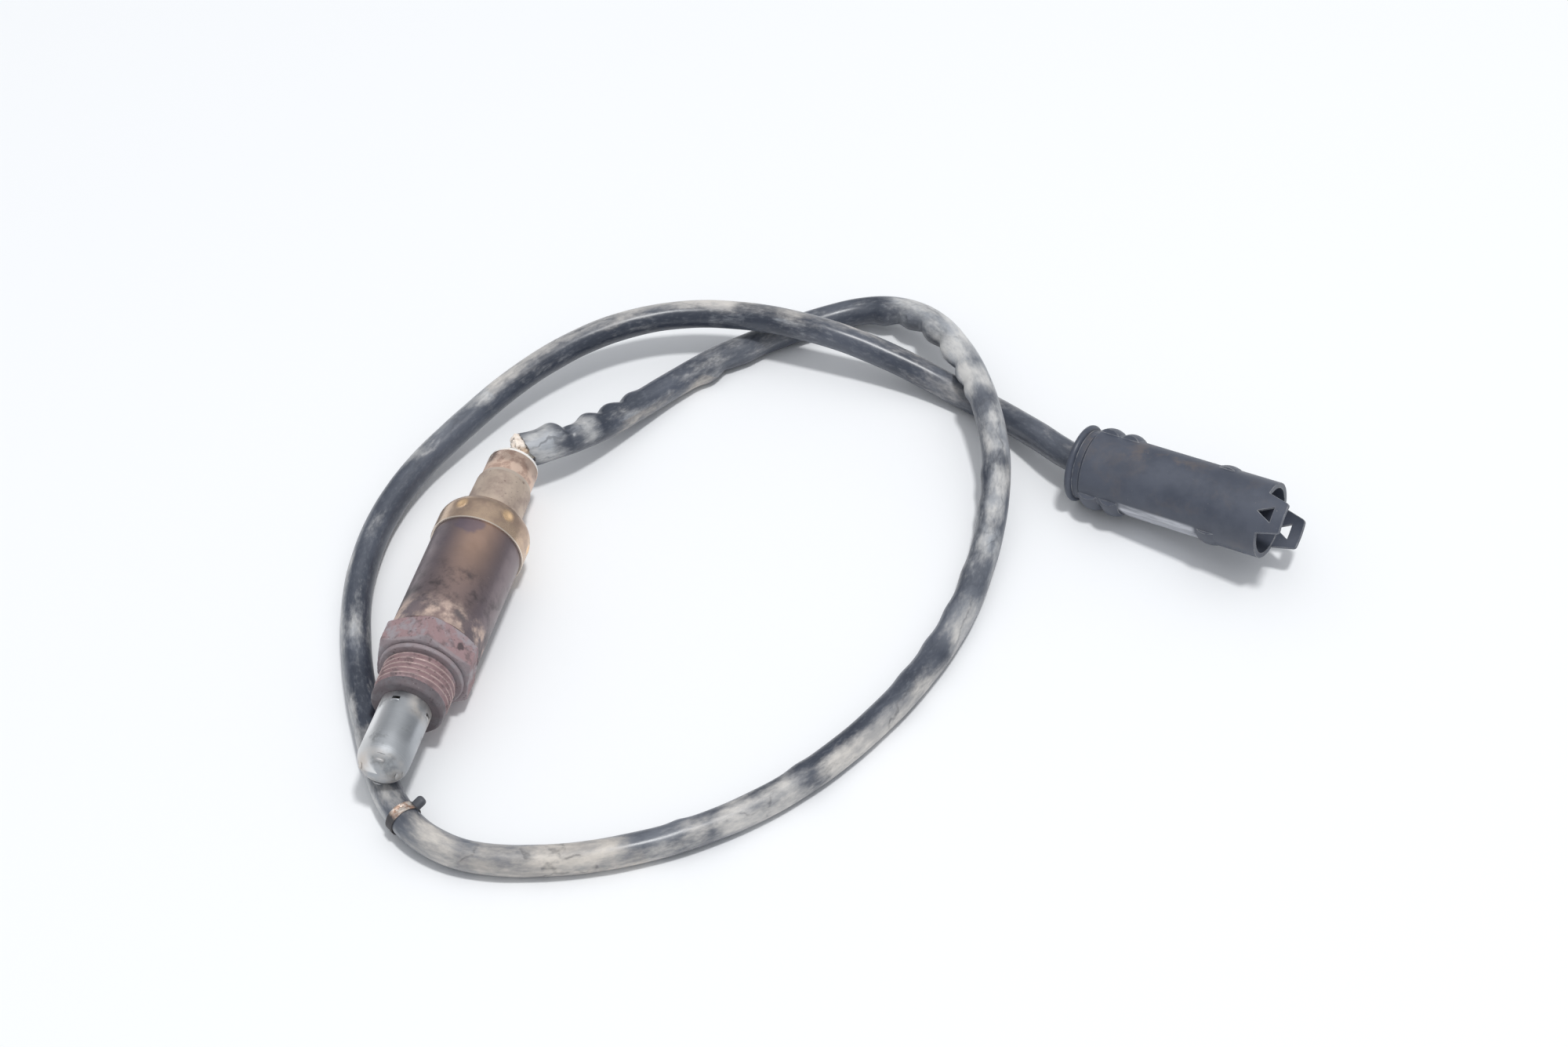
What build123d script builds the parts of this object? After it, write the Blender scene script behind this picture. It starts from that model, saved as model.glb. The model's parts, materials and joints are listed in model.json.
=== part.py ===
# Heated oxygen sensor of the thimble type: probe, four-core cable and round four-way connector.
# Millimetres, +Z up. The sensor lies on the surface z = 0 with its probe along +Y, closed end at -Y,
# and the origin is under the middle of the probe.

import os
from math import asin, cos, degrees, pi, radians, sin, tan

from build123d import *

# Fits
fit = 0.05                # play between pieces that are pressed or slid together
circuits = ("signal", "ground", "heater_1", "heater_2")

# Protection tube with its gas slits
tube_d = 12.2
tube_wall = 0.5
tube_length = 19.8        # closed end to the front of the housing
tube_end_radius = 4.6
tube_lip = 1.2            # flange at the open end, clamped in the housing
tube_lip_t = 0.6
slit_length = 1.9
slit_width = 0.7
slit_count = 4
base_slit_from_housing = 1.9
base_slit_angle = 101.0   # clock angles are seen from the closed end, from +X towards +Z
end_slit_from_tip = 1.7
end_slit_angle = 81.0

# Housing with its thread and hexagon
thread_d = 18.0
thread_length = 10.2
pilot_d = 17.4            # plain lead-in ahead of the thread
pilot_length = 2.4
relief_d = 16.4           # groove behind the thread, which keeps the washer captive
lip_recess = 2.0          # depth of the tube flange below the front of the housing
washer_d = 20.4
washer_t = 1.3
washer_round = 0.5
hex_flats = 22.0
hex_length = 7.5
hex_chamfer_angle = 30.0
hex_corner_angle = 81.0
spigot_length = 4.2       # stands inside the body sleeve
element_seat_depth = 7.6  # tube flange shoulder to the seat of the ceramic
packing_wall = 2.2        # housing wall round the powder packing

# Ceramic sensing element and its heater
element_tip_gap = 3.5     # inside the closed end of the tube
element_collar_d = 12.4
element_shoulder = 2.8    # ledge under the collar, which sits on the seat ring
element_collar_length = 4.2
element_top_d = 9.2
element_top_length = 12.1
element_bore_d = 3.5
element_floor = 2.8
shank_play = 0.6          # round the shank in the housing
seat_ring_t = 0.6
heater_d = 2.8
heater_proud = 9.5        # above the top of the element

# Packing, support ceramic and spring
packing_length = 5.0
support_play = 0.2
support_length = 34.0
spring_t = 0.6
spring_rise = 0.9

# Contacts
contact_t = 0.6
contact_w = 1.8
contact_radius = 2.6      # strip centre from the probe axis
crimp_d = 2.3
crimp_length = 5.5
crimp_rise = 1.5          # spring top to the start of the crimp

# Sleeves
sleeve_d = 22.2
sleeve_wall = 0.6
sleeve_shown = 32.6       # hexagon to the collar rim
sleeve_mouth_d = 11.0
cap_wall = 0.5
collar_length = 5.4
neck_base_d = 14.5
neck_top_d = 14.0
neck_length = 11.8
step_length = 1.2
end_d = 12.9
end_length = 6.5
dimple_count = 6
dimple_radius = 2.0
dimple_depth = 0.3
dimple_rise = 0.0        # up the shoulder, in degrees
dimple_angle = 52.0

# Cable grommet and wires
grommet_proud = 0.8
grommet_length = 14.0
wire_d = 1.5
wire_radius = 1.75        # wire centres from the cable axis
wire_out = 0.2            # straight beyond the grommet
wire_bend_radius = 5.5
wire_bend = 62.0          # turn towards +X, in degrees
liner_d = 6.6
liner_bore_d = 5.2
liner_bend = 30.0

# Cable
cable_d = 7.2
mouth_run = 7.0           # first run, straight out of the torn mouth
tip_lift = 0.25           # cable under the tube, above the surface
tip_clearance = 0.35      # cable to tube
tie_play = 0.15           # round the cable
tie_band = 0.6
tie_width = 2.6
tie_place = 0.62          # along its run
tie_tail = 4.0
tie_tail_t = 1.5
tie_tail_angle = 25.0

# Connector
connector_x = 136.68
connector_y = 86.63
connector_heading = -17.5
connector_tilt = 8.0      # open end raised by the stiff cable
tongue_angle = 55.0       # above the horizontal on the near side
flange_d = 19.6
flange_t = 1.8
groove_d = 17.4
groove_length = 1.6
shell_d = 19.0
shell_wall = 1.3
shell_length = 51.2
socket_depth = 7.3        # wide mouth that takes the mating plug
seat_step = 0.3           # narrower bore behind it, which holds the carrier
rear_bore_d = 14.0
rear_bore_length = 9.0
tongue_length = 5.8
tongue_base = 10.2
tongue_tip = 7.4
tongue_corner = 0.8
tongue_relief = 0.25      # tongues stand clear of the plug
window_start = 0.9        # window apex, behind the shell's edge
window_length = 3.8
window_width = 3.9
grip_flat_depth = 0.6
grip_start = 14.6
grip_end = 35.9
rib_rise = 1.0
rib_width = 10.0
rear_ribs = ((3.9, 9.1), (9.7, 14.5))
front_rib = (36.0, 40.5)
front_rib_rise = 0.5
carrier_length = 24.0
carrier_hollow = 5.0
carrier_rim = 1.5
seal_start = 4.4
seal_end_gap = 0.4        # seal and cable stop short of the carrier
terminal_radius = 3.7
terminal_d = 2.6
terminal_body = 16.0
terminal_pin_d = 1.6
terminal_pin = 9.8
tail_in_terminal = 2.5

# Stations along the probe, from the closed end
s_housing = tube_length
s_washer = s_housing + thread_length
s_hex = s_washer + washer_t
s_sleeve = s_hex + hex_length
s_collar = s_sleeve + sleeve_shown
s_shoulder = s_collar + collar_length
s_lip = s_housing + lip_recess
s_shank = s_lip + tube_lip_t
s_seat = s_shank + element_seat_depth
s_element_collar = s_seat + seat_ring_t
s_packing = s_element_collar + element_collar_length
s_element_top = s_packing + element_top_length
s_support = s_packing + packing_length
s_spring = s_support + support_length
s_sleeve_top = s_spring + spring_rise + spring_t
s_crimp = s_sleeve_top + sleeve_wall + crimp_rise

# Radii shared by pieces that fit each other
tube_r = tube_d / 2
lip_r = tube_r + tube_lip
hex_r = hex_flats / 2 / cos(radians(30))
element_collar_r = element_collar_d / 2
element_r = element_collar_r - element_shoulder
element_top_r = element_top_d / 2
sleeve_r = sleeve_d / 2
sleeve_bore_r = sleeve_r - sleeve_wall
spigot_r = sleeve_bore_r - fit
packing_r = spigot_r - packing_wall
support_r = packing_r - support_play
collar_r = sleeve_r + fit + cap_wall
neck_r = neck_base_d / 2
shoulder_r = collar_r - neck_r
s_neck = s_shoulder + shoulder_r
s_step = s_neck + neck_length
s_end = s_step + step_length
s_mouth = s_end + end_length
s_grommet = s_mouth + grommet_proud
s_bend = s_grommet + wire_out
wire_r = wire_d / 2
cable_r = cable_d / 2

# The probe lies on its collar, with the closed end raised by the cable that passes under it
s_crossing = tube_end_radius
lift_at_tip = cable_d + tip_lift + tip_clearance + tube_r - collar_r
lift_at_hex = hex_r - collar_r
tilt = max(asin(lift_at_tip / (s_shoulder - s_crossing)), asin(lift_at_hex / (s_shoulder - s_sleeve)))
tip_height = collar_r * cos(tilt) + s_shoulder * sin(tilt)
probe_plane = Plane(
    origin=(0, -s_grommet * cos(tilt) / 2, tip_height),
    x_dir=(1, 0, 0),
    z_dir=(0, cos(tilt), -sin(tilt)),
)
probe_place = probe_plane.location

# The connector rests on its flange; its own +Z runs to the raised open end and its +Y to the near tongue
heading = radians(connector_heading)
raised = radians(connector_tilt)
facing = radians(tongue_angle)
ahead = Vector(cos(heading), sin(heading), 0)
near_side = Vector(sin(heading), -cos(heading), 0)
upward = Vector(0, 0, 1) * cos(raised) - ahead * sin(raised)
connector_plane = Plane(
    origin=(connector_x, connector_y, flange_d / 2 * cos(raised)),
    x_dir=upward * cos(facing) - near_side * sin(facing),
    z_dir=ahead * cos(raised) + Vector(0, 0, 1) * sin(raised),
)
connector_place = connector_plane.location


def turned(*profile):
    """Solid of revolution about Z from (radius, height) corners."""
    return revolve(Plane.XZ * make_face(Polyline(*profile, close=True)), Axis.Z)


def rod(diameter, start, end, x=0.0):
    """Cylinder along Z between two heights."""
    foot = (Align.CENTER, Align.CENTER, Align.MIN)
    return Pos(x, 0, start) * Cylinder(diameter / 2, end - start, align=foot)


def ring(outer, bore, start, end):
    return rod(outer, start, end) - rod(bore, start, end)


def clock(angle):
    """Turn about the probe axis to a clock angle."""
    return Rot(0, 0, -angle)


def quarter(number):
    """One of the four places round an axis, on the diagonals."""
    return Rot(0, 0, 45 + 90 * number)


def protection_tube():
    inner_r = tube_r - tube_wall
    inner_end = tube_end_radius - tube_wall
    outline = [
        Line((0, 0), (tube_r - tube_end_radius, 0)),
        RadiusArc((tube_r - tube_end_radius, 0), (tube_r, tube_end_radius), -tube_end_radius),
        Polyline(
            (tube_r, tube_end_radius),
            (tube_r, s_lip),
            (lip_r, s_lip),
            (lip_r, s_shank),
            (inner_r, s_shank),
            (inner_r, tube_end_radius),
        ),
        RadiusArc((inner_r, tube_end_radius), (inner_r - inner_end, tube_wall), inner_end),
        Polyline((inner_r - inner_end, tube_wall), (0, tube_wall), (0, 0)),
    ]
    tube = revolve(Plane.XZ * make_face(outline), Axis.Z)
    slit = Pos(tube_r, 0, 0) * Box(4 * tube_wall, slit_length, slit_width)
    for number in range(slit_count):
        turn = 360 * number / slit_count
        tube -= clock(base_slit_angle + turn) * Pos(0, 0, s_housing - base_slit_from_housing) * slit
        tube -= clock(end_slit_angle + turn) * Pos(0, 0, end_slit_from_tip) * slit
    return tube


def sensor_housing():
    """Steel body: lead-in, thread, hexagon and the spigot for the body sleeve."""
    thread_r = thread_d / 2
    pilot_r = pilot_d / 2
    relief_r = relief_d / 2
    run_in = thread_r - pilot_r
    run_out = thread_r - relief_r
    shank = turned(
        (0, s_housing),
        (pilot_r - run_in, s_housing),
        (pilot_r, s_housing + run_in),
        (pilot_r, s_housing + pilot_length),
        (thread_r, s_housing + pilot_length + run_in),
        (thread_r, s_washer - run_out),
        (relief_r, s_washer),
        (relief_r, s_hex),
        (0, s_hex),
    )
    across = Plane.XY.offset(s_hex) * clock(hex_corner_angle) * RegularPolygon(hex_r, 6)
    flat_r = hex_flats / 2
    chamfer_drop = (hex_r - flat_r) * tan(radians(hex_chamfer_angle))
    blank = turned(
        (0, s_hex),
        (flat_r, s_hex),
        (hex_r, s_hex + chamfer_drop),
        (hex_r, s_sleeve - chamfer_drop),
        (flat_r, s_sleeve),
        (0, s_sleeve),
    )
    hexagon = extrude(across, hex_length) & blank
    body = shank + hexagon + rod(2 * spigot_r, s_sleeve, s_sleeve + spigot_length)
    body -= rod(2 * (lip_r + fit), s_housing, s_shank)
    body -= rod(2 * (element_r + shank_play), s_shank, s_seat)
    body -= rod(2 * (element_collar_r + fit), s_seat, s_packing)
    return body - rod(2 * packing_r, s_packing, s_sleeve + spigot_length)


def sealing_washer():
    washer = ring(washer_d, relief_d + 2 * fit, s_washer, s_hex)
    rims = washer.edges().filter_by(GeomType.CIRCLE).group_by(SortBy.RADIUS)[-1]
    return fillet(rims, washer_round)


def sensing_element():
    """Ceramic thimble, closed towards the exhaust gas."""
    tip = tube_wall + element_tip_gap
    outline = [
        RadiusArc((0, tip), (element_r, tip + element_r), -element_r),
        Polyline(
            (element_r, tip + element_r),
            (element_r, s_element_collar),
            (element_collar_r, s_element_collar),
            (element_collar_r, s_packing),
            (element_top_r, s_packing),
            (element_top_r, s_element_top),
            (element_bore_d / 2, s_element_top),
            (element_bore_d / 2, tip + element_floor),
            (0, tip + element_floor),
            (0, tip),
        ),
    ]
    return revolve(Plane.XZ * make_face(outline), Axis.Z)


def rod_heater():
    foot = tube_wall + element_tip_gap + element_floor
    return rod(heater_d, foot, s_element_top + heater_proud)


def support_ceramic():
    """Insulator over the element, with a bore for the heater and a slot for each contact."""
    bush = rod(2 * support_r, s_support, s_spring)
    bush -= rod(element_top_d + 2 * fit, s_support, s_element_top + fit)
    bush -= rod(heater_d + 2 * fit, s_element_top, s_element_top + heater_proud + fit)
    slot_height = s_spring - s_element_top
    slot = Pos(contact_radius, 0, s_element_top + slot_height / 2)
    slot *= Box(contact_t + 2 * fit, contact_w + 2 * fit, slot_height)
    for number in range(len(circuits)):
        bush -= quarter(number) * slot
    return bush


def disc_spring():
    """Conical washer between the ceramic and the inturned lip of the sleeve."""
    inner_r = sleeve_mouth_d / 2 - spring_t
    outer_r = support_r
    return turned(
        (outer_r, s_spring),
        (outer_r, s_spring + spring_t),
        (inner_r, s_sleeve_top),
        (inner_r, s_sleeve_top - spring_t),
    )


def contact():
    """Strip from the element up through the ceramic to a crimp on its wire."""
    strip_top = s_crimp + crimp_length
    strip = Pos(contact_radius, 0, (s_element_top + strip_top) / 2)
    strip *= Box(contact_t, contact_w, strip_top - s_element_top)
    crimp = rod(crimp_d, s_crimp, strip_top, wire_radius)
    return strip + crimp - rod(wire_d + 2 * fit, s_crimp + wire_r, strip_top, wire_radius)


def body_sleeve():
    """Drawn tube over the spigot, turned in at the top onto the spring."""
    top = s_sleeve_top + sleeve_wall
    return turned(
        (sleeve_bore_r, s_sleeve),
        (sleeve_r, s_sleeve),
        (sleeve_r, top),
        (sleeve_mouth_d / 2, top),
        (sleeve_mouth_d / 2, s_sleeve_top),
        (sleeve_bore_r, s_sleeve_top),
    )


def cap_sleeve():
    """Stepped cap: collar, domed shoulder with staked dimples, neck and narrow end."""
    end_r = end_d / 2
    bore_r = collar_r - cap_wall
    neck_bore_r = neck_r - cap_wall
    neck_top_r = neck_top_d / 2
    arc_r = shoulder_r - cap_wall
    outline = [
        Line((collar_r, s_collar), (collar_r, s_shoulder)),
        RadiusArc((collar_r, s_shoulder), (neck_r, s_neck), -shoulder_r),
        Polyline(
            (neck_r, s_neck),
            (neck_top_r, s_step),
            (end_r, s_end),
            (end_r, s_mouth),
            (end_r - cap_wall, s_mouth),
            (end_r - cap_wall, s_end),
            (neck_top_r - cap_wall, s_step),
            (neck_bore_r, s_neck - cap_wall),
            (neck_r, s_neck - cap_wall),
        ),
        RadiusArc((neck_r, s_neck - cap_wall), (bore_r, s_shoulder), arc_r),
        Polyline((bore_r, s_shoulder), (bore_r, s_collar), (collar_r, s_collar)),
    ]
    cap = revolve(Plane.XZ * make_face(outline), Axis.Z)
    reach = shoulder_r + dimple_radius - dimple_depth
    rise = radians(dimple_rise)
    dimple = Pos(neck_r + reach * cos(rise), 0, s_shoulder + reach * sin(rise)) * Sphere(dimple_radius)
    for number in range(dimple_count):
        cap -= clock(dimple_angle + 360 * number / dimple_count) * dimple
    return cap


def cable_grommet():
    """Heat-proof plug in the cap, with a hole for each wire and a ring proud of the sleeve."""
    start = s_grommet - grommet_length
    end_r = end_d / 2 - cap_wall - fit
    neck_top_r = neck_top_d / 2 - cap_wall - fit
    plug = turned(
        (0, start),
        (neck_top_r, start),
        (neck_top_r, s_step),
        (end_r, s_end),
        (end_r, s_mouth),
        (end_d / 2 - cap_wall / 2, s_mouth),
        (end_d / 2 - cap_wall / 2, s_grommet),
        (0, s_grommet),
    )
    for number in range(len(circuits)):
        plug -= quarter(number) * rod(wire_d + 2 * fit, start, s_grommet, wire_radius)
    return plug


bend_axis = Axis((wire_bend_radius, 0, s_bend), (0, 1, 0))


def lead_wire(number):
    """Wire from its crimp, out of the grommet and round the bend into the cable's mouth."""
    straight = quarter(number) * rod(wire_d, s_crimp + wire_r, s_bend, wire_radius)
    section = Plane.XY.offset(s_bend) * quarter(number) * Pos(wire_radius, 0) * Circle(wire_r)
    return straight + revolve(section, bend_axis, wire_bend)


def braid_liner():
    """Fibre sleeve round the wires, standing out of the cable's torn mouth."""
    section = Plane.XY.offset(s_bend) * (Circle(liner_d / 2) - Circle(liner_bore_d / 2))
    return revolve(section.rotate(bend_axis, wire_bend - liner_bend), bend_axis, liner_bend)


turn_out = radians(wire_bend)
mouth = probe_plane.from_local_coords(
    (wire_bend_radius * (1 - cos(turn_out)), 0, s_bend + wire_bend_radius * sin(turn_out))
)
mouth_ahead = probe_plane.from_local_coords(
    (wire_bend_radius * (1 - cos(turn_out)) + mouth_run * sin(turn_out), 0,
     s_bend + wire_bend_radius * sin(turn_out) + mouth_run * cos(turn_out))
)
cable_stop = rear_bore_length - seal_end_gap
cable_entry = 1.0         # into the connector, where its last run starts

# The tie is on the run between these two points of the route
tie_from = Vector(11.5, -58.6, 4.8)
tie_to = Vector(3.5, -52.3, 4.8)

# Cable route: out of the mouth, under its own far end, over it, round the loop, under the probe's tip,
# back over the first stretch, under the loop and into the connector
route = [
    mouth,
    mouth_ahead,
    Vector(15.0, 68.0, 8.6),
    Vector(20.5, 79.0, 6.0),
    Vector(27.5, 92.5, 4.2),
    Vector(37.0, 106.0, 3.65),
    Vector(48.5, 117.5, 3.65),
    Vector(59.5, 126.5, 3.65),
    Vector(68.0, 131.6, 4.4),
    Vector(76.0, 133.6, 5.8),
    Vector(84.2, 132.0, 7.6),
    Vector(91.6, 126.9, 9.6),
    Vector(98.2, 119.2, 11.4),
    Vector(105.4, 108.0, 12.6),
    Vector(111.6, 95.0, 12.6),
    Vector(116.5, 82.0, 10.0),
    Vector(118.5, 67.0, 6.2),
    Vector(118.5, 51.0, 3.9),
    Vector(116.5, 33.0, 3.65),
    Vector(111.0, 13.5, 3.65),
    Vector(101.5, -7.0, 3.65),
    Vector(88.5, -26.5, 3.65),
    Vector(71.5, -42.5, 3.65),
    Vector(52.5, -53.5, 3.65),
    Vector(36.0, -59.2, 3.65),
    Vector(22.5, -61.2, 4.0),
    tie_from,
    tie_to,
    Vector(-2.0, -45.0, 3.85),
    Vector(-8.0, -35.0, 3.65),
    Vector(-16.0, -20.5, 3.65),
    Vector(-23.0, -4.5, 3.65),
    Vector(-28.0, 12.5, 3.65),
    Vector(-29.0, 30.5, 4.2),
    Vector(-25.5, 47.5, 6.0),
    Vector(-17.8, 64.0, 8.2),
    Vector(-7.5, 83.5, 10.4),
    Vector(7.5, 101.5, 12.0),
    Vector(25.5, 112.2, 12.6),
    Vector(45.5, 116.0, 12.6),
    Vector(65.0, 114.6, 12.6),
    Vector(83.0, 113.4, 8.4),
    Vector(99.0, 110.2, 4.2),
    Vector(113.5, 103.8, 4.2),
    Vector(124.4, 95.6, 7.3),
    Vector(130.9, 90.2, 8.75),
    connector_plane.from_local_coords((0, 0, cable_entry)),
    connector_plane.from_local_coords((0, 0, cable_stop)),
]
corner_share = 0.45       # of the shorter run, given to each bend


def corner_radius(before, corner, after):
    """Largest bend that the two runs at a corner allow."""
    run_in = corner - before
    run_out = after - corner
    shorter = min(run_in.length, run_out.length)
    return corner_share * shorter / tan(radians(run_in.get_angle(run_out)) / 2)


bend_radii = [corner_radius(*route[i:i + 3]) for i in range(len(route) - 2)]
cable_path = FilletPolyline(*route, radius=bend_radii)


def cable_sheath():
    return sweep(Plane(origin=cable_path @ 0, z_dir=cable_path % 0) * Circle(cable_r), cable_path)


def cable_tie():
    """Band round the cable with its cut-off tail standing up on the inside of the loop."""
    run = tie_to - tie_from
    across = Vector(0, 0, 1).cross(run)
    lean = radians(tie_tail_angle)
    plane = Plane(origin=tie_from + run * tie_place, x_dir=across * -1, z_dir=run)
    bore = cable_d + 2 * tie_play
    band = ring(bore + 2 * tie_band, bore, -tie_width / 2, tie_width / 2)
    root = bore / 2 + tie_band / 2
    tail = Box(tie_tail_t, tie_tail, tie_width, align=(Align.CENTER, Align.MIN, Align.CENTER))
    tail = fillet(tail.edges().filter_by(Axis.X).group_by(Axis.Y)[-1], tie_tail_t / 2)
    return plane.location * (band + Rot(0, 0, degrees(lean) - 90) * Pos(0, root, 0) * tail)


def rib(start, end, rise):
    """Rounded grip ribs on both sides of the shell."""
    shell_r = shell_d / 2
    middle = (start + end) / 2
    inside = shell_r - shell_wall / 2
    outline = [
        Polyline((shell_r, end), (inside, end), (inside, start), (shell_r, start)),
        ThreePointArc((shell_r, start), (shell_r + rise, middle), (shell_r, end)),
    ]
    band = revolve(Plane.XZ * make_face(outline), Axis.Z)
    return band & Pos(0, 0, middle) * Box(2 * flange_d, rib_width, 2 * (end - start))


def connector_shell():
    """Moulded shell: flange, grip ribs and flats, open socket and two latch tongues."""
    shell_r = shell_d / 2
    groove_r = groove_d / 2
    flange_r = flange_d / 2
    edge = flange_t / 2
    body_start = flange_t + groove_length + shell_r - groove_r
    outline = [
        Polyline((0, 0), (flange_r - edge, 0)),
        ThreePointArc((flange_r - edge, 0), (flange_r, edge), (flange_r - edge, flange_t)),
        Polyline(
            (flange_r - edge, flange_t),
            (groove_r, flange_t),
            (groove_r, flange_t + groove_length),
            (shell_r, body_start),
            (shell_r, shell_length),
            (0, shell_length),
            (0, 0),
        ),
    ]
    shell = revolve(Plane.XZ * make_face(outline), Axis.Z)
    for start, end in rear_ribs:
        shell += rib(start, end, rib_rise)
    flat_x = shell_r - grip_flat_depth
    flat = Box(shell_d, shell_d, grip_end - grip_start, align=(Align.MIN, Align.CENTER, Align.MIN))
    for side in (0, 180):
        shell -= Rot(0, 0, side) * Pos(flat_x, 0, grip_start) * flat
    shell += rib(*front_rib, front_rib_rise)

    tip = shell_length + tongue_length
    tongue_shape = Plane.XZ * make_face(Polyline(
        (-tongue_base / 2, shell_length - tongue_length),
        (tongue_base / 2, shell_length - tongue_length),
        (tongue_base / 2, shell_length),
        (tongue_tip / 2, tip),
        (-tongue_tip / 2, tip),
        (-tongue_base / 2, shell_length),
        close=True,
    ))
    tongues = rod(shell_d, shell_length - tongue_length, tip) & extrude(tongue_shape, shell_d, both=True)
    shell += tongues
    shell -= rod(rear_bore_d, 0, rear_bore_length)
    shell -= turned(
        (0, rear_bore_length),
        (seat_d / 2, rear_bore_length),
        (seat_d / 2, socket_start - seat_step),
        (socket_d / 2, socket_start),
        (socket_d / 2, shell_length),
        (0, shell_length),
    )
    shell -= rod(socket_d + 2 * tongue_relief, shell_length, tip)

    apex = shell_length - window_start
    window = Plane.XZ * make_face(Polyline(
        (0, apex),
        (window_width / 2, apex + window_length),
        (-window_width / 2, apex + window_length),
        close=True,
    ))
    shell -= extrude(window, shell_d, both=True)
    corners = shell.edges().filter_by(Axis.Y).group_by(Axis.Z)[-1]
    return fillet(corners, tongue_corner)


socket_d = shell_d - 2 * shell_wall
seat_d = socket_d - 2 * seat_step
socket_start = shell_length - socket_depth
carrier_end = rear_bore_length + carrier_length
terminal_start = rear_bore_length + carrier_hollow
terminal_shoulder = terminal_start + terminal_body


def contact_carrier():
    """Insulating insert, hollow behind for the wires, with a cavity for each terminal."""
    diameter = seat_d - 2 * fit
    insert = rod(diameter, rear_bore_length, carrier_end)
    insert -= rod(diameter - 2 * carrier_rim, rear_bore_length, terminal_start)
    cavity = rod(terminal_d + 2 * fit, terminal_start, terminal_shoulder, terminal_radius)
    cavity += rod(terminal_pin_d + 2 * fit, terminal_shoulder, carrier_end, terminal_radius)
    for number in range(len(circuits)):
        insert -= quarter(number) * cavity
    return insert


def rear_seal():
    return ring(rear_bore_d - 2 * fit, cable_d + 2 * fit, seal_start, cable_stop)


def terminal():
    """Pin with a rounded end and a socket behind for its wire."""
    tip = terminal_shoulder + terminal_pin
    body = rod(terminal_d, terminal_start, terminal_shoulder, terminal_radius)
    pin = rod(terminal_pin_d, terminal_shoulder, tip, terminal_radius)
    pin = fillet(pin.edges().group_by(Axis.Z)[-1], terminal_pin_d / 4)
    hole = rod(wire_d + 2 * fit, terminal_start, terminal_start + tail_in_terminal, terminal_radius)
    return body + pin - hole


def tail_wire():
    """Wire from the end of the cable, spread out to its terminal."""
    slack = (terminal_start - cable_stop) / 5
    path = FilletPolyline(
        (wire_radius, 0, cable_stop),
        (wire_radius, 0, cable_stop + slack),
        (terminal_radius, 0, terminal_start - slack),
        (terminal_radius, 0, terminal_start + tail_in_terminal),
        radius=wire_d,
    )
    return sweep(Plane(origin=path @ 0, z_dir=path % 0) * Circle(wire_r), path)


def probe_pieces():
    """Pieces along the probe axis, in probe coordinates."""
    pieces = {
        "protection_tube": protection_tube(),
        "sensor_housing": sensor_housing(),
        "sealing_washer": sealing_washer(),
        "sensing_element": sensing_element(),
        "rod_heater": rod_heater(),
        "seat_ring": ring(element_collar_d, 2 * (element_r + shank_play), s_seat, s_element_collar),
        "powder_packing": ring(2 * packing_r - 2 * fit, element_top_d + 2 * fit, s_packing, s_support),
        "support_ceramic": support_ceramic(),
        "disc_spring": disc_spring(),
        "body_sleeve": body_sleeve(),
        "cap_sleeve": cap_sleeve(),
        "cable_grommet": cable_grommet(),
        "braid_liner": braid_liner(),
    }
    strip = contact()
    for number, circuit in enumerate(circuits):
        pieces["contact_" + circuit] = quarter(number) * strip
        pieces["lead_wire_" + circuit] = lead_wire(number)
    return pieces


def connector_pieces():
    """Pieces along the connector axis, in connector coordinates."""
    pieces = {
        "connector_shell": connector_shell(),
        "contact_carrier": contact_carrier(),
        "rear_seal": rear_seal(),
    }
    pin = terminal()
    tail = tail_wire()
    for number, circuit in enumerate(circuits):
        pieces["terminal_" + circuit] = quarter(number) * pin
        pieces["tail_wire_" + circuit] = quarter(number) * tail
    return pieces


def main():
    parts = {name: probe_place * piece for name, piece in probe_pieces().items()}
    parts.update({name: connector_place * piece for name, piece in connector_pieces().items()})
    parts["cable_sheath"] = cable_sheath()
    parts["cable_tie"] = cable_tie()

    os.makedirs("parts", exist_ok=True)
    for name, piece in parts.items():
        piece.label = name
        export_step(piece, os.path.join("parts", name + ".step"))

    section_volume = pi * cable_r ** 2 * cable_path.length
    print("probe tilt", round(degrees(tilt), 2), "degrees, length", round(s_grommet, 1))
    print("cable length", round(cable_path.length, 1))
    print("cable volume", round(parts["cable_sheath"].volume, 1))
    print("section times length", round(section_volume, 1))
    print("bend radii", [round(radius, 1) for radius in bend_radii])


main()
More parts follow.
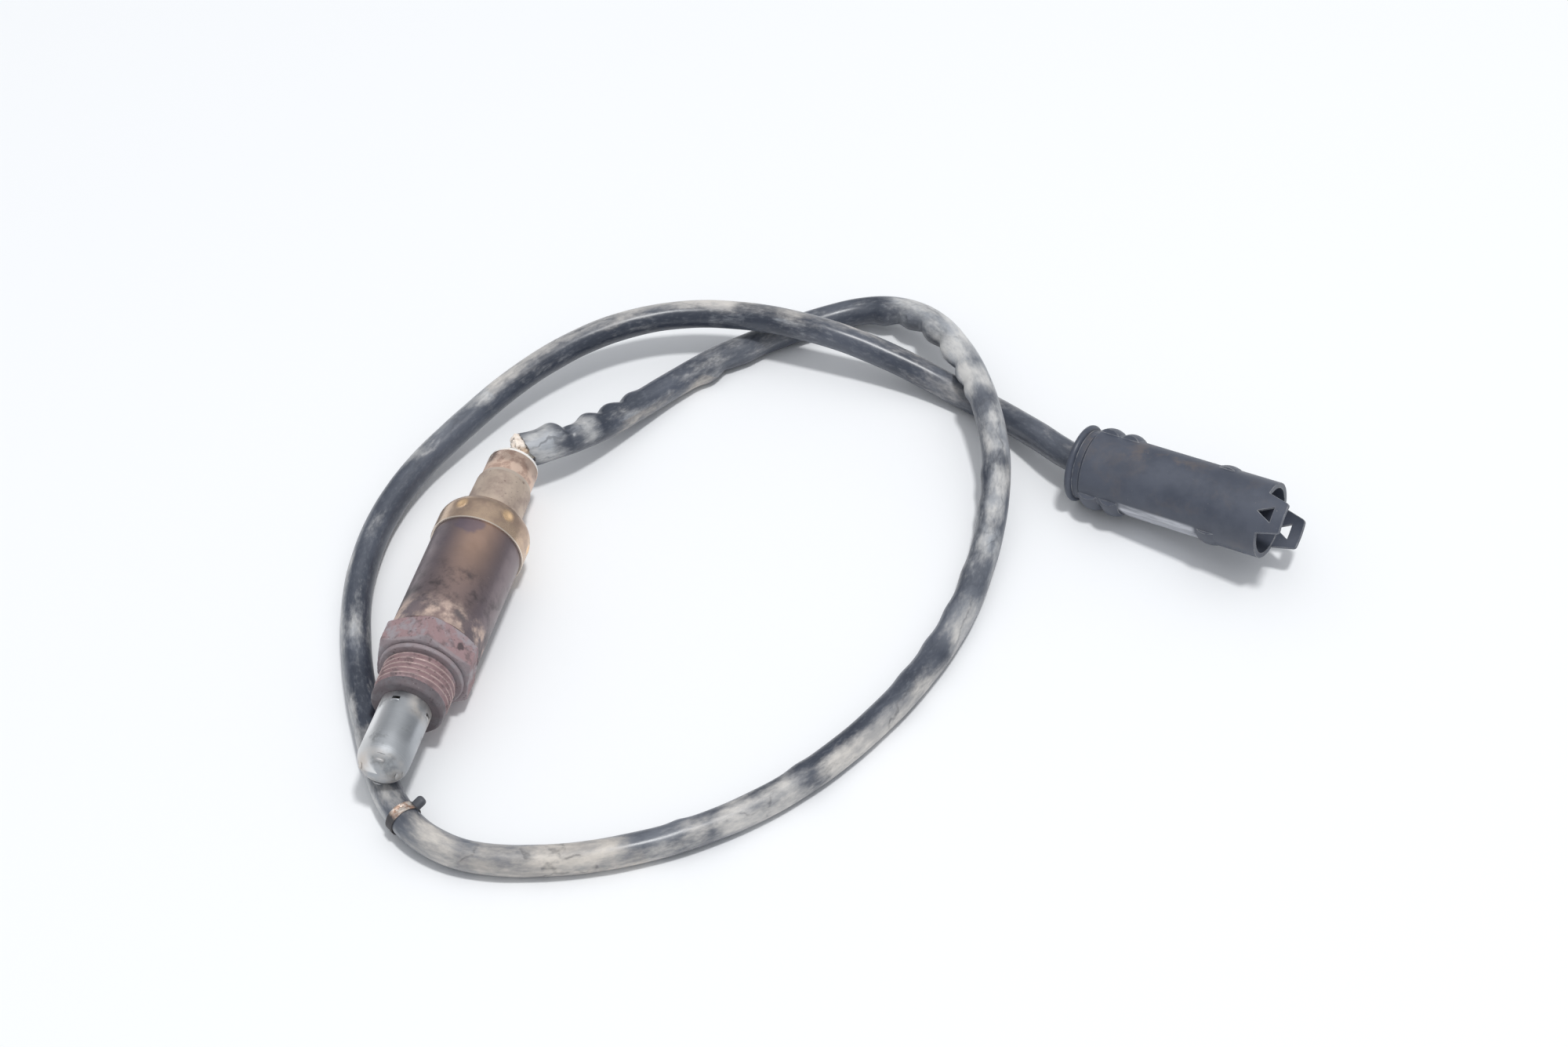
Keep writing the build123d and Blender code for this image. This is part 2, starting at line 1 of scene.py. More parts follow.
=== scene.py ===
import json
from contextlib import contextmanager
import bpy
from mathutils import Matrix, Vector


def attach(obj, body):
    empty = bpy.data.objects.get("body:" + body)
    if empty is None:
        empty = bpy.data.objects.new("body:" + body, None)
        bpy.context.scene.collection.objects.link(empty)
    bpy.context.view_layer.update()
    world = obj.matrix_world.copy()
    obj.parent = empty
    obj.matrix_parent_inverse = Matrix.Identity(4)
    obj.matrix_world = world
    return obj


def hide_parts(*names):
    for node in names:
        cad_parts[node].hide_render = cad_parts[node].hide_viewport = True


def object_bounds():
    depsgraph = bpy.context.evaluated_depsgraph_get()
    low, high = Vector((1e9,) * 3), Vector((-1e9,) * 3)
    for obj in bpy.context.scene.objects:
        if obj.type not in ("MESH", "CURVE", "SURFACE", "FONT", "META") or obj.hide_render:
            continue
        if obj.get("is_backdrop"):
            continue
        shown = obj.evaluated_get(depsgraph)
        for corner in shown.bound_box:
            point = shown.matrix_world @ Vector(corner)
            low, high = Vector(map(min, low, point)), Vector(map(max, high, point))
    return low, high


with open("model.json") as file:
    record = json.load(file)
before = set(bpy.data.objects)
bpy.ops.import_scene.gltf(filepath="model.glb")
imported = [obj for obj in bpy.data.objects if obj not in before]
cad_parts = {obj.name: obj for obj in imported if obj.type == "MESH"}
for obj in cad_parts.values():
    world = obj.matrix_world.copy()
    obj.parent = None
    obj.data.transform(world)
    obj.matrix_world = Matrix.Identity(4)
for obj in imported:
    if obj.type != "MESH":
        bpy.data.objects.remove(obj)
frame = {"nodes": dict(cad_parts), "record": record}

# A used heated oxygen sensor lying on a pale table: probe along +Y, cable in one loose loop.
# Metres, +Z up, in the frame of the loaded model.
from inspect import signature
from math import atan2, cos, degrees, exp, pi, radians, sin, tan, tau
from random import Random

import bpy
from mathutils import Matrix, Vector, noise

cad_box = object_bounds()
nodes = frame["nodes"]
mm = 0.001
weld = 0.001 * mm
sky = Vector((0, 0, 1))

# Probe: stations run along its axis from the closed end towards the cable.
# Clock angles are seen from the closed end, from +X towards +Z.
probe_tilt = radians(1.786)
probe_tip = Vector((0, -50.725, 14.038)) * mm
probe_along = Vector((0, cos(probe_tilt), -sin(probe_tilt)))
probe_up = Vector((0, sin(probe_tilt), cos(probe_tilt)))

# Housing, in millimetres
s_housing = 19.8
s_pilot = 22.2
s_washer = 30.0
s_hexagon = 31.3
s_sleeve = 38.8
s_spigot = 43.0
thread_d = 18.0
thread_pitch = 1.5
thread_depth = 0.85
thread_flank = 0.43 * thread_pitch
thread_crest = 0.07
thread_foot = 0.4
thread_lead = 0.4
thread_turns = 8
thread_steps = 72
s_thread = s_pilot - 0.3
pilot_d = 17.4
relief_d = 16.4
hexagon_flats = 22.0
hexagon_corner = 81.0
hexagon_chamfer = 30.0
spigot_d = 20.9
tube_recess_d = 14.7
crimped_mouth_d = 12.1
powder_bore_d = 16.5
element_bore_d = 8.0
element_collar_d = 12.5
s_tube_seat = 22.4
s_element_seat = 30.0
s_powder = 34.8
housing_edge = 0.45
pilot_edge = 0.35
relief_length = 0.8
crimp_height = 0.8
skin_voxel = 0.22

# Cap sleeve, in millimetres
s_collar = 71.4
s_shoulder = 76.8
s_neck = 81.2
s_step = 93.0
s_end = 94.2
s_mouth = 100.7
collar_d = 23.3
neck_base_d = 14.5
neck_top_d = 14.0
end_d = 12.9
cap_wall = 0.5
cap_edge = 0.12
collar_rows = 10
collar_row = 0.5
shoulder_rows = 16
shoulder_rows_inside = 8
dimple_count = 6
dimple_clock = 52.0
dimple_station = 76.2
dimple_depth = 0.5
dimple_reach = 2.0

# Gas slits in the tube, in millimetres and clock degrees: a row by the housing and a row in the closed end
tube_r = 6.1
slit_clocks = (101, 191, 281, 11)
s_slit_lips = 17.18
lip_size = (0.42, 1.15, 0.42)
lip_cut = 0.1
lip_sunk = 0.12
end_slit_clocks = (81, 171, 261, 351)
end_lip_r = 4.28
s_end_lips = 0.86
end_lip_lean = 38.0

# Cable: its diameter, length, wall and lift are in metres, its other sizes in millimetres
cable_diameter = 7.2 * mm
cable_length = 0.715
cable_sides = 48
sheath_wall = 1.0 * mm
mouth_lift = 0.9 * mm
lift_reach = 22.0 * mm
lifted_points = 200
turned_in_points = 12
mouth_flare = 0.75
flare_reach = 4.5
torn_reach = 4.0
skin_ripple = 0.10
ripple_length = 9.0
mouth_point = Vector((0, 50.73, 10.88)) * mm
# Points that steer its line, in millimetres
cable_route = [
    (2.92, 55.78, 10.72), (9.10, 59.06, 10.62), (15.0, 68.0, 8.6), (20.5, 79.0, 6.0),
    (27.5, 92.5, 4.2), (37.0, 106.0, 3.65), (48.5, 117.5, 3.65), (59.5, 126.5, 3.65),
    (68.0, 131.6, 4.4), (76.0, 133.6, 5.8), (84.2, 132.0, 7.6), (91.6, 126.9, 9.6),
    (98.2, 119.2, 11.4), (105.4, 108.0, 12.6), (111.6, 95.0, 12.6), (116.5, 82.0, 10.0),
    (118.5, 67.0, 6.2), (118.5, 51.0, 3.9), (116.5, 33.0, 3.65), (111.0, 13.5, 3.65),
    (101.5, -7.0, 3.65), (88.5, -26.5, 3.65), (71.5, -42.5, 3.65), (52.5, -53.5, 3.65),
    (36.0, -59.2, 3.65), (22.5, -61.2, 4.0), (11.5, -58.6, 4.8), (3.5, -52.3, 4.8),
    (-2.0, -45.0, 3.85), (-8.0, -35.0, 3.65), (-16.0, -20.5, 3.65), (-23.0, -4.5, 3.65),
    (-28.0, 12.5, 3.65), (-29.0, 30.5, 4.2), (-25.5, 47.5, 6.0), (-17.8, 64.0, 8.2),
    (-7.5, 83.5, 10.4), (7.5, 101.5, 12.0), (25.5, 112.2, 12.6), (45.5, 116.0, 12.6),
    (65.0, 114.6, 12.6), (83.0, 113.4, 8.4), (99.0, 110.2, 4.2), (113.5, 103.8, 4.2),
    (124.4, 95.6, 7.3), (130.9, 90.2, 8.75), (137.62, 86.33, 9.84), (144.80, 84.07, 10.90),
]

# Folds in the soft sheath: distance along the cable, side, height and half length.
# Distances are in millimetres from the torn mouth. Side 0 is up and 90 the inside of the loop, in degrees.
cable_folds = [
    (6.6, -55, 1.9, 3.2), (9.8, -15, -0.8, 1.1), (18.0, -70, 1.4, 2.8), (22.0, -70, -0.5, 1.4),
    (26.0, -70, 1.1, 2.8), (30.0, -70, -0.4, 1.4), (34.0, -70, 0.7, 2.4),
    (58.0, 100, 0.9, 3.0), (63.0, 100, -0.4, 1.5), (70.0, 95, 0.5, 3.4),
    (111.0, 95, 1.0, 3.2), (115.5, 95, -0.4, 1.6), (120.0, 95, 0.9, 3.0), (125.0, 95, -0.5, 1.6),
    (130.0, 90, 1.1, 3.2), (135.2, 85, -0.7, 1.5), (140.5, 85, 1.1, 3.4), (146.0, 85, -0.6, 1.5),
    (150.0, 85, 0.8, 2.6), (153.5, 85, -0.3, 1.2), (157.0, 85, 0.6, 2.2),
    (184.0, 85, 0.35, 2.4), (194.0, 85, 0.35, 2.4), (215.0, 85, 0.4, 3.6), (228.0, 80, 0.35, 3.2),
    (240.0, 80, 0.35, 3.0), (252.0, 75, 0.3, 3.2), (290.0, 60, 0.3, 2.8), (322.0, 60, 0.3, 2.2),
]

# Dust on the sheath, where the light rows on top are partly a painted highlight: from and to along the cable,
# side and spread round it, amount and how tan it is.
# It fades over millimetres along the cable and over degrees round it.
bare_dust = 0.06
dust_fade = 6.0
dust_blur = 12.0
# The light rows along the top, from 18 to 112 mm and from 430 to 520 mm, are partly dust and partly a painted
# highlight where the light falls on the sheath.
cable_dust = [
    (-2, 8, 25, 95, 0.62, 0.0), (10, 18, 0, 95, 0.54, 0.0), (18, 58, 20, 40, 0.22, 0.1),
    (20, 60, 110, 45, 0.26, 0.8),
    (56, 88, 30, 70, 0.34, 0.15), (88, 112, 25, 55, 0.26, 0.1), (112, 152, 0, 100, 0.56, 0.0),
    (148, 162, 0, 100, 0.70, 0.1), (160, 184, -10, 80, 0.50, 0.05), (166, 172, -10, 60, 0.64, 0.05),
    (174, 180, -5, 55, 0.64, 0.1),
    (181, 201, -15, 46, 0.66, 0.1), (198, 222, -20, 70, 0.40, 0.0), (220, 240, -40, 70, 0.54, 0.3),
    (245, 290, -70, 55, 0.60, 0.45), (290, 315, -62, 80, 0.62, 0.35), (315, 334, -50, 85, 0.46, 0.4),
    (332, 373, -38, 110, 0.72, 0.7), (368, 388, -40, 90, 0.54, 0.6), (386, 414, -10, 45, 0.44, 0.3),
    (384, 412, -95, 40, 0.66, 0.1), (410, 504, -80, 40, 0.50, 0.1), (430, 520, 5, 26, 0.26, 0.0),
    (498, 534, -40, 60, 0.40, 0.0), (528, 604, -35, 58, 0.56, 0.4), (598, 664, -38, 46, 0.44, 0.5),
    (652, 716, 10, 110, 0.26, 0.45),
]

# Frayed fibre: the half section of its pack, and the shreds about it, in millimetres
fibre_pack = [
    (0.8, -2.0), (2.8, -2.0), (3.2, 0.6), (3.7, 2.6), (3.5, 3.6), (2.9, 4.3), (2.0, 4.6), (0.8, 4.3),
]
fibre_shift = (0.5, -0.5, 0)
shred_count = 240
shred_r = 0.24
shred_bend_r = 9.0
shred_bend = radians(42)
shred_scale = 0.35

# Tie on the cable: where it sits in metres, its sizes in millimetres
tie_from = Vector((11.5, -58.6, 4.8)) * mm
tie_to = Vector((3.5, -52.3, 4.8)) * mm
tie_place = 0.62
tie_bore = 7.5
tie_width = 2.4
tie_band = 0.32
tie_edge = 0.15
tie_groove = 0.1
tie_groove_half = 0.4
stub_length = 3.8
stub_height = 2.1
stub_out = 0.5
stub_edge = 0.9
stub_turn = radians(25)

# Connector: where its axis starts, its axis, and the direction from its lower flat to its upper flat
connector_start = Vector((136.68, 86.63, 9.705)) * mm
connector_along = Vector((0.94444, -0.29778, 0.13917))
connector_rise = Vector((0.1702, 0.8053, 0.5680))

# Finishes inside: ground and flecks in a picture's 0 to 255 values, roughness, scale of the flecks,
# and metallic where it isn't 0
inner_finishes = {
    "bright_steel": ((196, 196, 192), (170, 170, 166), 0.28, 600.0, 1.0),
    "zirconia": ((232, 228, 216), (214, 208, 194), 0.55, 500.0),
    "ceramic": ((236, 232, 222), (220, 214, 202), 0.6, 400.0),
    "talc": ((206, 204, 198), (186, 183, 176), 0.85, 900.0),
    "wire_black": ((38, 38, 40), (54, 54, 56), 0.42, 700.0),
    "wire_grey": ((140, 142, 144), (158, 160, 162), 0.42, 700.0),
    "wire_white": ((226, 224, 216), (208, 204, 194), 0.42, 700.0),
    "seal_rubber": ((40, 40, 42), (58, 58, 60), 0.7, 500.0),
    "tinned_brass": ((206, 200, 176), (186, 172, 132), 0.3, 800.0, 1.0),
}

# Camera, from the photograph
camera_azimuth = radians(13.74)
camera_elevation = radians(47.5)
camera_distance = 703.8 * mm
camera_target = Vector((67.5, 57.5, 0)) * mm
camera_lens = 64.8
camera_sensor = 36
camera_clip = (0.01, 50)

# Table and light
table_size = 8
table_colour = (0.95, 0.962, 0.975, 1)
table_roughness = 0.7
room_strength = 0.62
room_colours = [
    (0.10, (0.62, 0.64, 0.67, 1)), (0.52, (0.66, 0.68, 0.71, 1)), (0.90, (1.25, 1.27, 1.30, 1)),
]
lamp_place = Vector((0.45, -0.14, 2.3))
lamp_target = Vector((0.06, 0.04, 0))
lamp_size = 0.30
lamp_energy = 25
smooth_angle = radians(35)


def deselect():
    bpy.ops.object.select_all(action="DESELECT")


def select_only(*pieces):
    """Select some pieces, with the first one active."""
    deselect()
    for piece in pieces:
        piece.select_set(True)
    bpy.context.view_layer.objects.active = pieces[0]


def name_new(name):
    """Name the piece that was just added."""
    piece = bpy.context.object
    piece.name = name
    return piece


def add_object(name, data):
    """New piece from its mesh, curve or camera."""
    piece = bpy.data.objects.new(name, data)
    bpy.context.scene.collection.objects.link(piece)
    return piece


@contextmanager
def edit_mode():
    """Edit mode on the active piece, with all of it selected."""
    bpy.ops.object.mode_set(mode="EDIT")
    bpy.ops.mesh.select_all(action="SELECT")
    yield
    bpy.ops.object.mode_set(mode="OBJECT")


def mend_normals(piece):
    select_only(piece)
    with edit_mode():
        bpy.ops.mesh.normals_make_consistent(inside=False)


def shape_with(piece, kind, **settings):
    """Give a piece one modifier and apply it."""
    select_only(piece)
    modifier = piece.modifiers.new(kind.lower(), kind)
    for name, value in settings.items():
        setattr(modifier, name, value)
    bpy.ops.object.modifier_apply(modifier=modifier.name)


def cut_with(piece, tool, operation):
    """Join, cut or trim a piece with another solid, which is used up."""
    shape_with(piece, "BOOLEAN", object=tool, operation=operation, solver="EXACT")
    bpy.data.objects.remove(tool)


def roughen(piece, name, grain, depth, strength, mid_level):
    """Push a piece's skin in and out by a cloudy texture, with grain and strength in millimetres."""
    texture = bpy.data.textures.new(name, "CLOUDS")
    texture.noise_scale = grain * mm
    texture.noise_depth = depth
    shape_with(
        piece, "DISPLACE", texture=texture, texture_coords="LOCAL", strength=strength * mm,
        mid_level=mid_level,
    )


def seat(piece, place):
    """Put a piece that was modelled about the origin in its place, within its mesh."""
    select_only(piece)
    piece.matrix_world = place
    bpy.ops.object.transform_apply(location=True, rotation=True, scale=True)


def copy_to(piece, places, others=()):
    """Repeat a piece's mesh at each place, and join the copies and any other pieces to it."""
    first = piece.data.copy()
    piece.data.clear_geometry()
    copies = []
    for place in places:
        mesh = first.copy()
        mesh.transform(place)
        copies.append(add_object("copy", mesh))
    select_only(piece, *others, *copies)
    bpy.ops.object.join()


def turned(angle, axis):
    return Matrix.Rotation(radians(angle), 4, axis)


def moved(*place):
    return Matrix.Translation(Vector(place) * mm)


def axes_at(origin, x_axis, y_axis, z_axis):
    turn = Matrix((x_axis, y_axis, z_axis)).transposed()
    return Matrix.Translation(origin) @ turn.to_4x4()


def beside(along):
    """Directions to the side of a line and up from it."""
    side = along.cross(sky).normalized()
    return side, side.cross(along)


def keep_values(mesh, name, values):
    """Keep a value for each vertex, for the finish to read."""
    mesh.attributes.new(name, "FLOAT", "POINT").data.foreach_set("value", values)


probe_place = axes_at(probe_tip, Vector((1, 0, 0)), -probe_up, probe_along)


def clock_direction(angle):
    """Direction across the probe at a clock angle, in probe axes."""
    return Vector((cos(radians(angle)), -sin(radians(angle)), 0))


def outline(name, profile):
    """Closed wire: a vertex drawn out through (radius, height) corners in millimetres, beside the Z axis."""
    deselect()
    bpy.ops.mesh.primitive_plane_add(size=mm)
    piece = name_new(name)
    with edit_mode():
        bpy.ops.mesh.merge(type="CENTER")
        bpy.ops.mesh.select_all(action="SELECT")
        radius, height = profile[0]
        bpy.ops.transform.translate(value=(radius * mm, 0, height * mm))
        for (from_r, from_h), (to_r, to_h) in zip(profile, profile[1:] + profile[:1]):
            step = ((to_r - from_r) * mm, 0, (to_h - from_h) * mm)
            bpy.ops.mesh.extrude_region_move(TRANSFORM_OT_translate={"value": step})
        bpy.ops.mesh.select_all(action="SELECT")
        bpy.ops.mesh.remove_doubles(threshold=weld)
    return piece


def spun(name, profile, steps=96):
    """Solid about Z, from the outline of its half section."""
    piece = outline(name, profile)
    with edit_mode():
        bpy.ops.mesh.spin(steps=steps, angle=tau, center=(0, 0, 0), axis=(0, 0, 1))
        bpy.ops.mesh.select_all(action="SELECT")
        bpy.ops.mesh.remove_doubles(threshold=weld)
        bpy.ops.mesh.normals_make_consistent(inside=False)
    return piece


def paint(colour):
    """Linear colour from a picture's 0 to 255 values."""
    return tuple((value / 255) ** 2.2 for value in colour) + (1,)


def feed(socket, value):
    """Set a socket, or join it to another node's output."""
    if isinstance(value, bpy.types.NodeSocket):
        socket.id_data.links.new(value, socket)
    else:
        socket.default_value = value


def put(tree, kind, inputs=None, **settings):
    """New node with its settings and inputs."""
    made = tree.nodes.new("ShaderNode" + kind)
    for name, value in settings.items():
        setattr(made, name, value)
    for socket, value in (inputs or {}).items():
        feed(made.inputs[socket], value)
    return made


def set_inputs(made, **inputs):
    """Set a node's inputs; a word such as base_color names the input Base Color."""
    for name, value in inputs.items():
        feed(made.inputs[name.replace("_", " ").title()], value)


def tree_of(values):
    """Node tree of the sockets among some values."""
    return next(value.id_data for value in values if isinstance(value, bpy.types.NodeSocket))


def reckon(operation, *values):
    return put(tree_of(values), "Math", dict(enumerate(values)), operation=operation).outputs[0]


def times(one, other):
    return reckon("MULTIPLY", one, other)


def larger(one, other):
    return reckon("MAXIMUM", one, other)


def length_of(across, up):
    """Length of the line with these two legs."""
    return reckon("SQRT", reckon("ADD", reckon("POWER", across, 2.0), reckon("POWER", up, 2.0)))


def reckon_vector(operation, *vectors):
    made = put(tree_of(vectors), "VectorMath", dict(enumerate(vectors)), operation=operation)
    return made.outputs["Value" if operation == "DOT_PRODUCT" else "Vector"]


def ramp(value, low, high, ends=(0.0, 1.0), kind="SMOOTHSTEP"):
    """Value carried over from one range to another."""
    return put(value.id_data, "MapRange", {
        "Value": value, "From Min": low, "From Max": high, "To Min": ends[0], "To Max": ends[1],
    }, interpolation_type=kind).outputs[0]


def level(mask, low, high):
    """Value between two levels, by a mask."""
    return ramp(mask, 0.0, 1.0, (low, high), "LINEAR")


def noise_at(vector, scale, detail, roughness=0.5):
    return put(vector.id_data, "TexNoise", {
        "Vector": vector, "Scale": scale, "Detail": detail, "Roughness": roughness,
    }).outputs["Fac"]


def blend(mask, under, over, amount=1.0):
    """Colour that changes from one to another where the mask is 1, as far as the amount says."""
    if amount != 1.0:
        mask = times(mask, amount)
    under, over = (paint(colour) if isinstance(colour, tuple) else colour for colour in (under, over))
    return put(mask.id_data, "Mix", {0: mask, 6: under, 7: over}, data_type="RGBA").outputs[2]


def relief(shader, height, depth, strength):
    """Bump of a depth in millimetres."""
    bump = put(height.id_data, "Bump", {"Strength": strength, "Distance": depth * mm, "Height": height})
    set_inputs(shader, normal=bump.outputs["Normal"])
    return bump


def covered(colour, *layers):
    """Colour with layers laid over it in turn: the mask of each, its colour and how far it covers."""
    for mask, over, *amount in layers:
        colour = blend(mask, colour, over, *amount)
    return colour


def new_material(name):
    """Empty node material with its shader."""
    material = bpy.data.materials.new(name)
    material.use_nodes = True
    return material, material.node_tree.nodes["Principled BSDF"]


def new_finish(name):
    """Empty node material for a piece, with its shader and the place of a point."""
    material, shader = new_material(name)
    return material, shader, put(material.node_tree, "TexCoord").outputs["Object"]


def attribute(tree, name):
    return put(tree, "Attribute", attribute_name=name).outputs


def shared_effect(effect):
    """Keep a reckoning as a node group; calling it puts the group into the tree that its inputs come from."""
    words = list(signature(effect).parameters)
    group = bpy.data.node_groups.new(effect.__name__, "ShaderNodeTree")
    for word in words:
        kind = "NodeSocketVector" if word == "vector" else "NodeSocketFloat"
        group.interface.new_socket(name=word, in_out="INPUT", socket_type=kind)
    results = effect(*group.nodes.new("NodeGroupInput").outputs[:len(words)])
    for word in results:
        group.interface.new_socket(name=word, in_out="OUTPUT", socket_type="NodeSocketFloat")
    taken = group.nodes.new("NodeGroupOutput").inputs
    for word, value in results.items():
        feed(taken[word], value)

    def place(*values, **named):
        inputs = dict(zip(words, values), **named)
        made = put(tree_of(inputs.values()), "Group", inputs, node_tree=group)
        return made.outputs if len(results) > 1 else made.outputs[0]

    return place


@shared_effect
def patches(vector, scale, low, high):
    """Cloudy patches, from 0 to 1 between two levels of a noise."""
    return {"mask": ramp(noise_at(vector, scale, 6.0, 0.62), low, high)}


@shared_effect
def pits(vector, scale):
    """Rough rusted skin: its height and its deep pits."""
    grain = noise_at(vector, scale, 8.0, 0.7)
    cells = put(vector.id_data, "TexVoronoi", {"Vector": vector, "Scale": scale})
    deep = ramp(cells.outputs["Distance"], 0.12, 0.34, (1.0, 0.0))
    deep = times(deep, ramp(grain, 0.45, 0.62, kind="LINEAR"))
    return {"height": reckon("SUBTRACT", grain, times(deep, 0.8)), "pits": deep}


@shared_effect
def place_on_probe(vector):
    """Where a point is on the probe: station and radius in millimetres, clock angle in degrees."""
    from_tip = reckon_vector("SUBTRACT", vector, probe_tip)
    right, up, along = (
        reckon_vector("DOT_PRODUCT", from_tip, direction / mm)
        for direction in (Vector((1, 0, 0)), probe_up, probe_along)
    )
    clock = reckon("DEGREES", reckon("ARCTAN2", up, right))
    return {"station": along, "clock": clock, "radius": length_of(right, up)}


@shared_effect
def place_on_connector(vector):
    """Where a point is on the connector, in millimetres: along it, up from its axis and out to its face."""
    from_start = reckon_vector("SUBTRACT", vector, connector_start)
    face = connector_along.cross(connector_rise)
    axes = {"station": connector_along, "rise": connector_rise, "face": face}
    return {word: reckon_vector("DOT_PRODUCT", from_start, axis / mm) for word, axis in axes.items()}


@shared_effect
def band(value, low, high, soft):
    """1 between two values, with soft ends."""
    up, down = (ramp(value, reckon("SUBTRACT", at, soft), reckon("ADD", at, soft)) for at in (low, high))
    return {"mask": reckon("SUBTRACT", up, down)}


@shared_effect
def spot(vector, station, clock, at_station, at_clock, length, width, ragged):
    """Ragged spot on the probe about a station and a clock angle."""
    along = reckon("DIVIDE", reckon("SUBTRACT", station, at_station), length)
    around = reckon("DIVIDE", reckon("SUBTRACT", clock, at_clock), width)
    torn = reckon("SUBTRACT", noise_at(vector, 420.0, 5.0, 0.6), 0.5)
    away = reckon("ADD", length_of(along, around), times(torn, ragged))
    return {"mask": ramp(away, 1.15, 0.65)}


@shared_effect
def turning_lines(vector, station, spacing):
    """Fine lines left round a drawn or turned piece, from its stations."""
    lines = put(vector.id_data, "TexNoise", {
        "W": reckon("DIVIDE", station, spacing), "Scale": 1.0, "Detail": 3.0,
    }, noise_dimensions="1D").outputs["Fac"]
    return {"lines": reckon("MULTIPLY_ADD", noise_at(vector, 260.0, 5.0), 0.6, times(lines, 0.4))}


@shared_effect
def grime(vector, amount, grain):
    """Dry dust broken up by coarse and fine grain, from the amount that lies there."""
    coarse = noise_at(vector, grain, 5.0, 0.55)
    fine = noise_at(vector, times(grain, 9.0), 4.0, 0.65)
    broken = reckon("MULTIPLY_ADD", reckon("SUBTRACT", coarse, 0.5), 1.9, amount)
    broken = reckon("MULTIPLY_ADD", reckon("SUBTRACT", fine, 0.5), 0.4, broken)
    return {"mask": ramp(broken, 0.14, 0.86), "speckle": ramp(fine, 0.50, 0.72, kind="LINEAR")}


def cable_rubber():
    """Satin blue-grey sheath, with dry pale and tan dirt where dust was kept, partly a painted highlight
    along its top, and fine cracks in it.
    """
    material, shader, place = new_finish("cable_rubber")
    tree = material.node_tree
    laid = attribute(tree, "laid")["Vector"]
    amount = attribute(tree, "dust")["Fac"]
    share = attribute(tree, "tan_share")["Fac"]
    dirt = grime(laid, amount, 150.0)
    dull = patches(laid, 90.0, 0.36, 0.68)
    stain = patches(laid, 230.0, 0.40, 0.66)
    warped = put(tree, "TexNoise", {"Vector": place, "Scale": 160.0, "Detail": 3.0}).outputs["Color"]
    warped = reckon_vector("ADD", laid, reckon_vector("MULTIPLY", warped, (0.006, 0.006, 0.006)))
    cells = put(tree, "TexVoronoi", {"Vector": warped, "Scale": 120.0}, feature="DISTANCE_TO_EDGE")
    crack = ramp(cells.outputs["Distance"], 0.012, 0.040, (1.0, 0.0), "LINEAR")
    crack = times(crack, times(stain, amount))
    film = ramp(amount, 0.15, 0.65, kind="LINEAR")
    pale = blend(stain, (214, 213, 211), (170, 174, 180))
    tan_dirt = blend(stain, (212, 202, 190), (170, 161, 151))
    colour = covered(
        blend(dull, (58, 63, 74), (86, 91, 102)), (film, blend(dull, (104, 108, 116), (136, 140, 147))),
        (dirt["speckle"], (140, 145, 153), 0.22), (dirt["mask"], blend(share, pale, tan_dirt)),
        (crack, (50, 50, 55), 0.8),
    )
    set_inputs(shader, base_color=colour, roughness=level(dirt["mask"], 0.29, 0.48))
    height = reckon("MULTIPLY_ADD", dirt["mask"], 0.3, times(dirt["speckle"], 0.25))
    relief(shader, reckon("SUBTRACT", height, crack), 0.07, 0.35)
    return material


def tube_steel():
    """Satin tube, smudged, with a tan bloom round its closed end and by the housing, and a painted reflection
    in near white down its upper left side.
    """
    material, shader, place = new_finish("tube_steel")
    on_probe = place_on_probe(place)
    station, clock = on_probe["station"], on_probe["clock"]
    lines = turning_lines(place, station, 0.25)
    smudge = patches(place, 190.0, 0.55, 0.70)
    bloom = patches(place, 170.0, 0.30, 0.72)
    end = band(station, -2.0, 2.4, 1.3)
    dome = band(station, -2.0, 7.0, 2.5)
    foot = band(station, 15.5, 22.0, 2.0)
    right = band(clock, -30.0, 66.0, 18.0)
    # The band round the upper left side carries a painted reflection, in near white.
    left = band(clock, 112.0, 175.0, 16.0)
    tan_bloom = times(bloom, larger(end, times(foot, right)))
    colour = covered(
        blend(lines, (160, 163, 167), (198, 201, 204)), (left, (236, 236, 236)),
        (smudge, (130, 132, 134), 0.6), (tan_bloom, (216, 207, 198), 0.85),
    )
    dull = larger(smudge, larger(tan_bloom, dome))
    metallic = level(tan_bloom, 0.95, 0.45)
    set_inputs(shader, base_color=colour, metallic=metallic, roughness=level(dull, 0.34, 0.62))
    relief(shader, lines, 0.02, 0.35)
    return material


def rusted_steel():
    """Housing: charcoal lead-in, red-brown thread with worn crests, mauve hexagon with grey patches."""
    material, shader, place = new_finish("rusted_steel")
    on_probe = place_on_probe(place)
    station, clock = on_probe["station"], on_probe["clock"]
    skin = pits(place, 900.0)
    grey = patches(place, 230.0, 0.46, 0.62)
    brown = patches(place, 410.0, 0.50, 0.66)
    specks = patches(place, 1500.0, 0.66, 0.74)
    lead_in = band(station, 18.0, 22.3, 0.35)
    thread = band(station, 22.3, 29.5, 0.3)
    front = band(station, 29.7, 32.2, 0.35)
    crest = band(on_probe["radius"], 8.82, 9.6, 0.1)
    gouge = spot(place, station, clock, at_station=35.0, at_clock=40.0, length=1.1, width=6.0, ragged=3.0)
    worn = times(times(crest, thread), level(brown, 0.8, 0.25))
    rust = blend(brown, (162, 136, 138), (129, 111, 113))
    colour = covered(
        rust, (grey, (162, 154, 159)), (thread, rust, 0.85), (front, (154, 147, 151), 0.7),
        (lead_in, (100, 96, 100), 0.85), (worn, (210, 188, 182)), (specks, (214, 208, 206), 0.8),
        (skin["pits"], (84, 74, 76), 0.7), (gouge, (78, 70, 74), 0.85),
    )
    roughness = level(larger(grey, worn), 0.72, 0.48)
    set_inputs(shader, base_color=colour, metallic=level(worn, 0.15, 0.7), roughness=roughness)
    relief(shader, skin["height"], 0.16, 0.7)
    return material


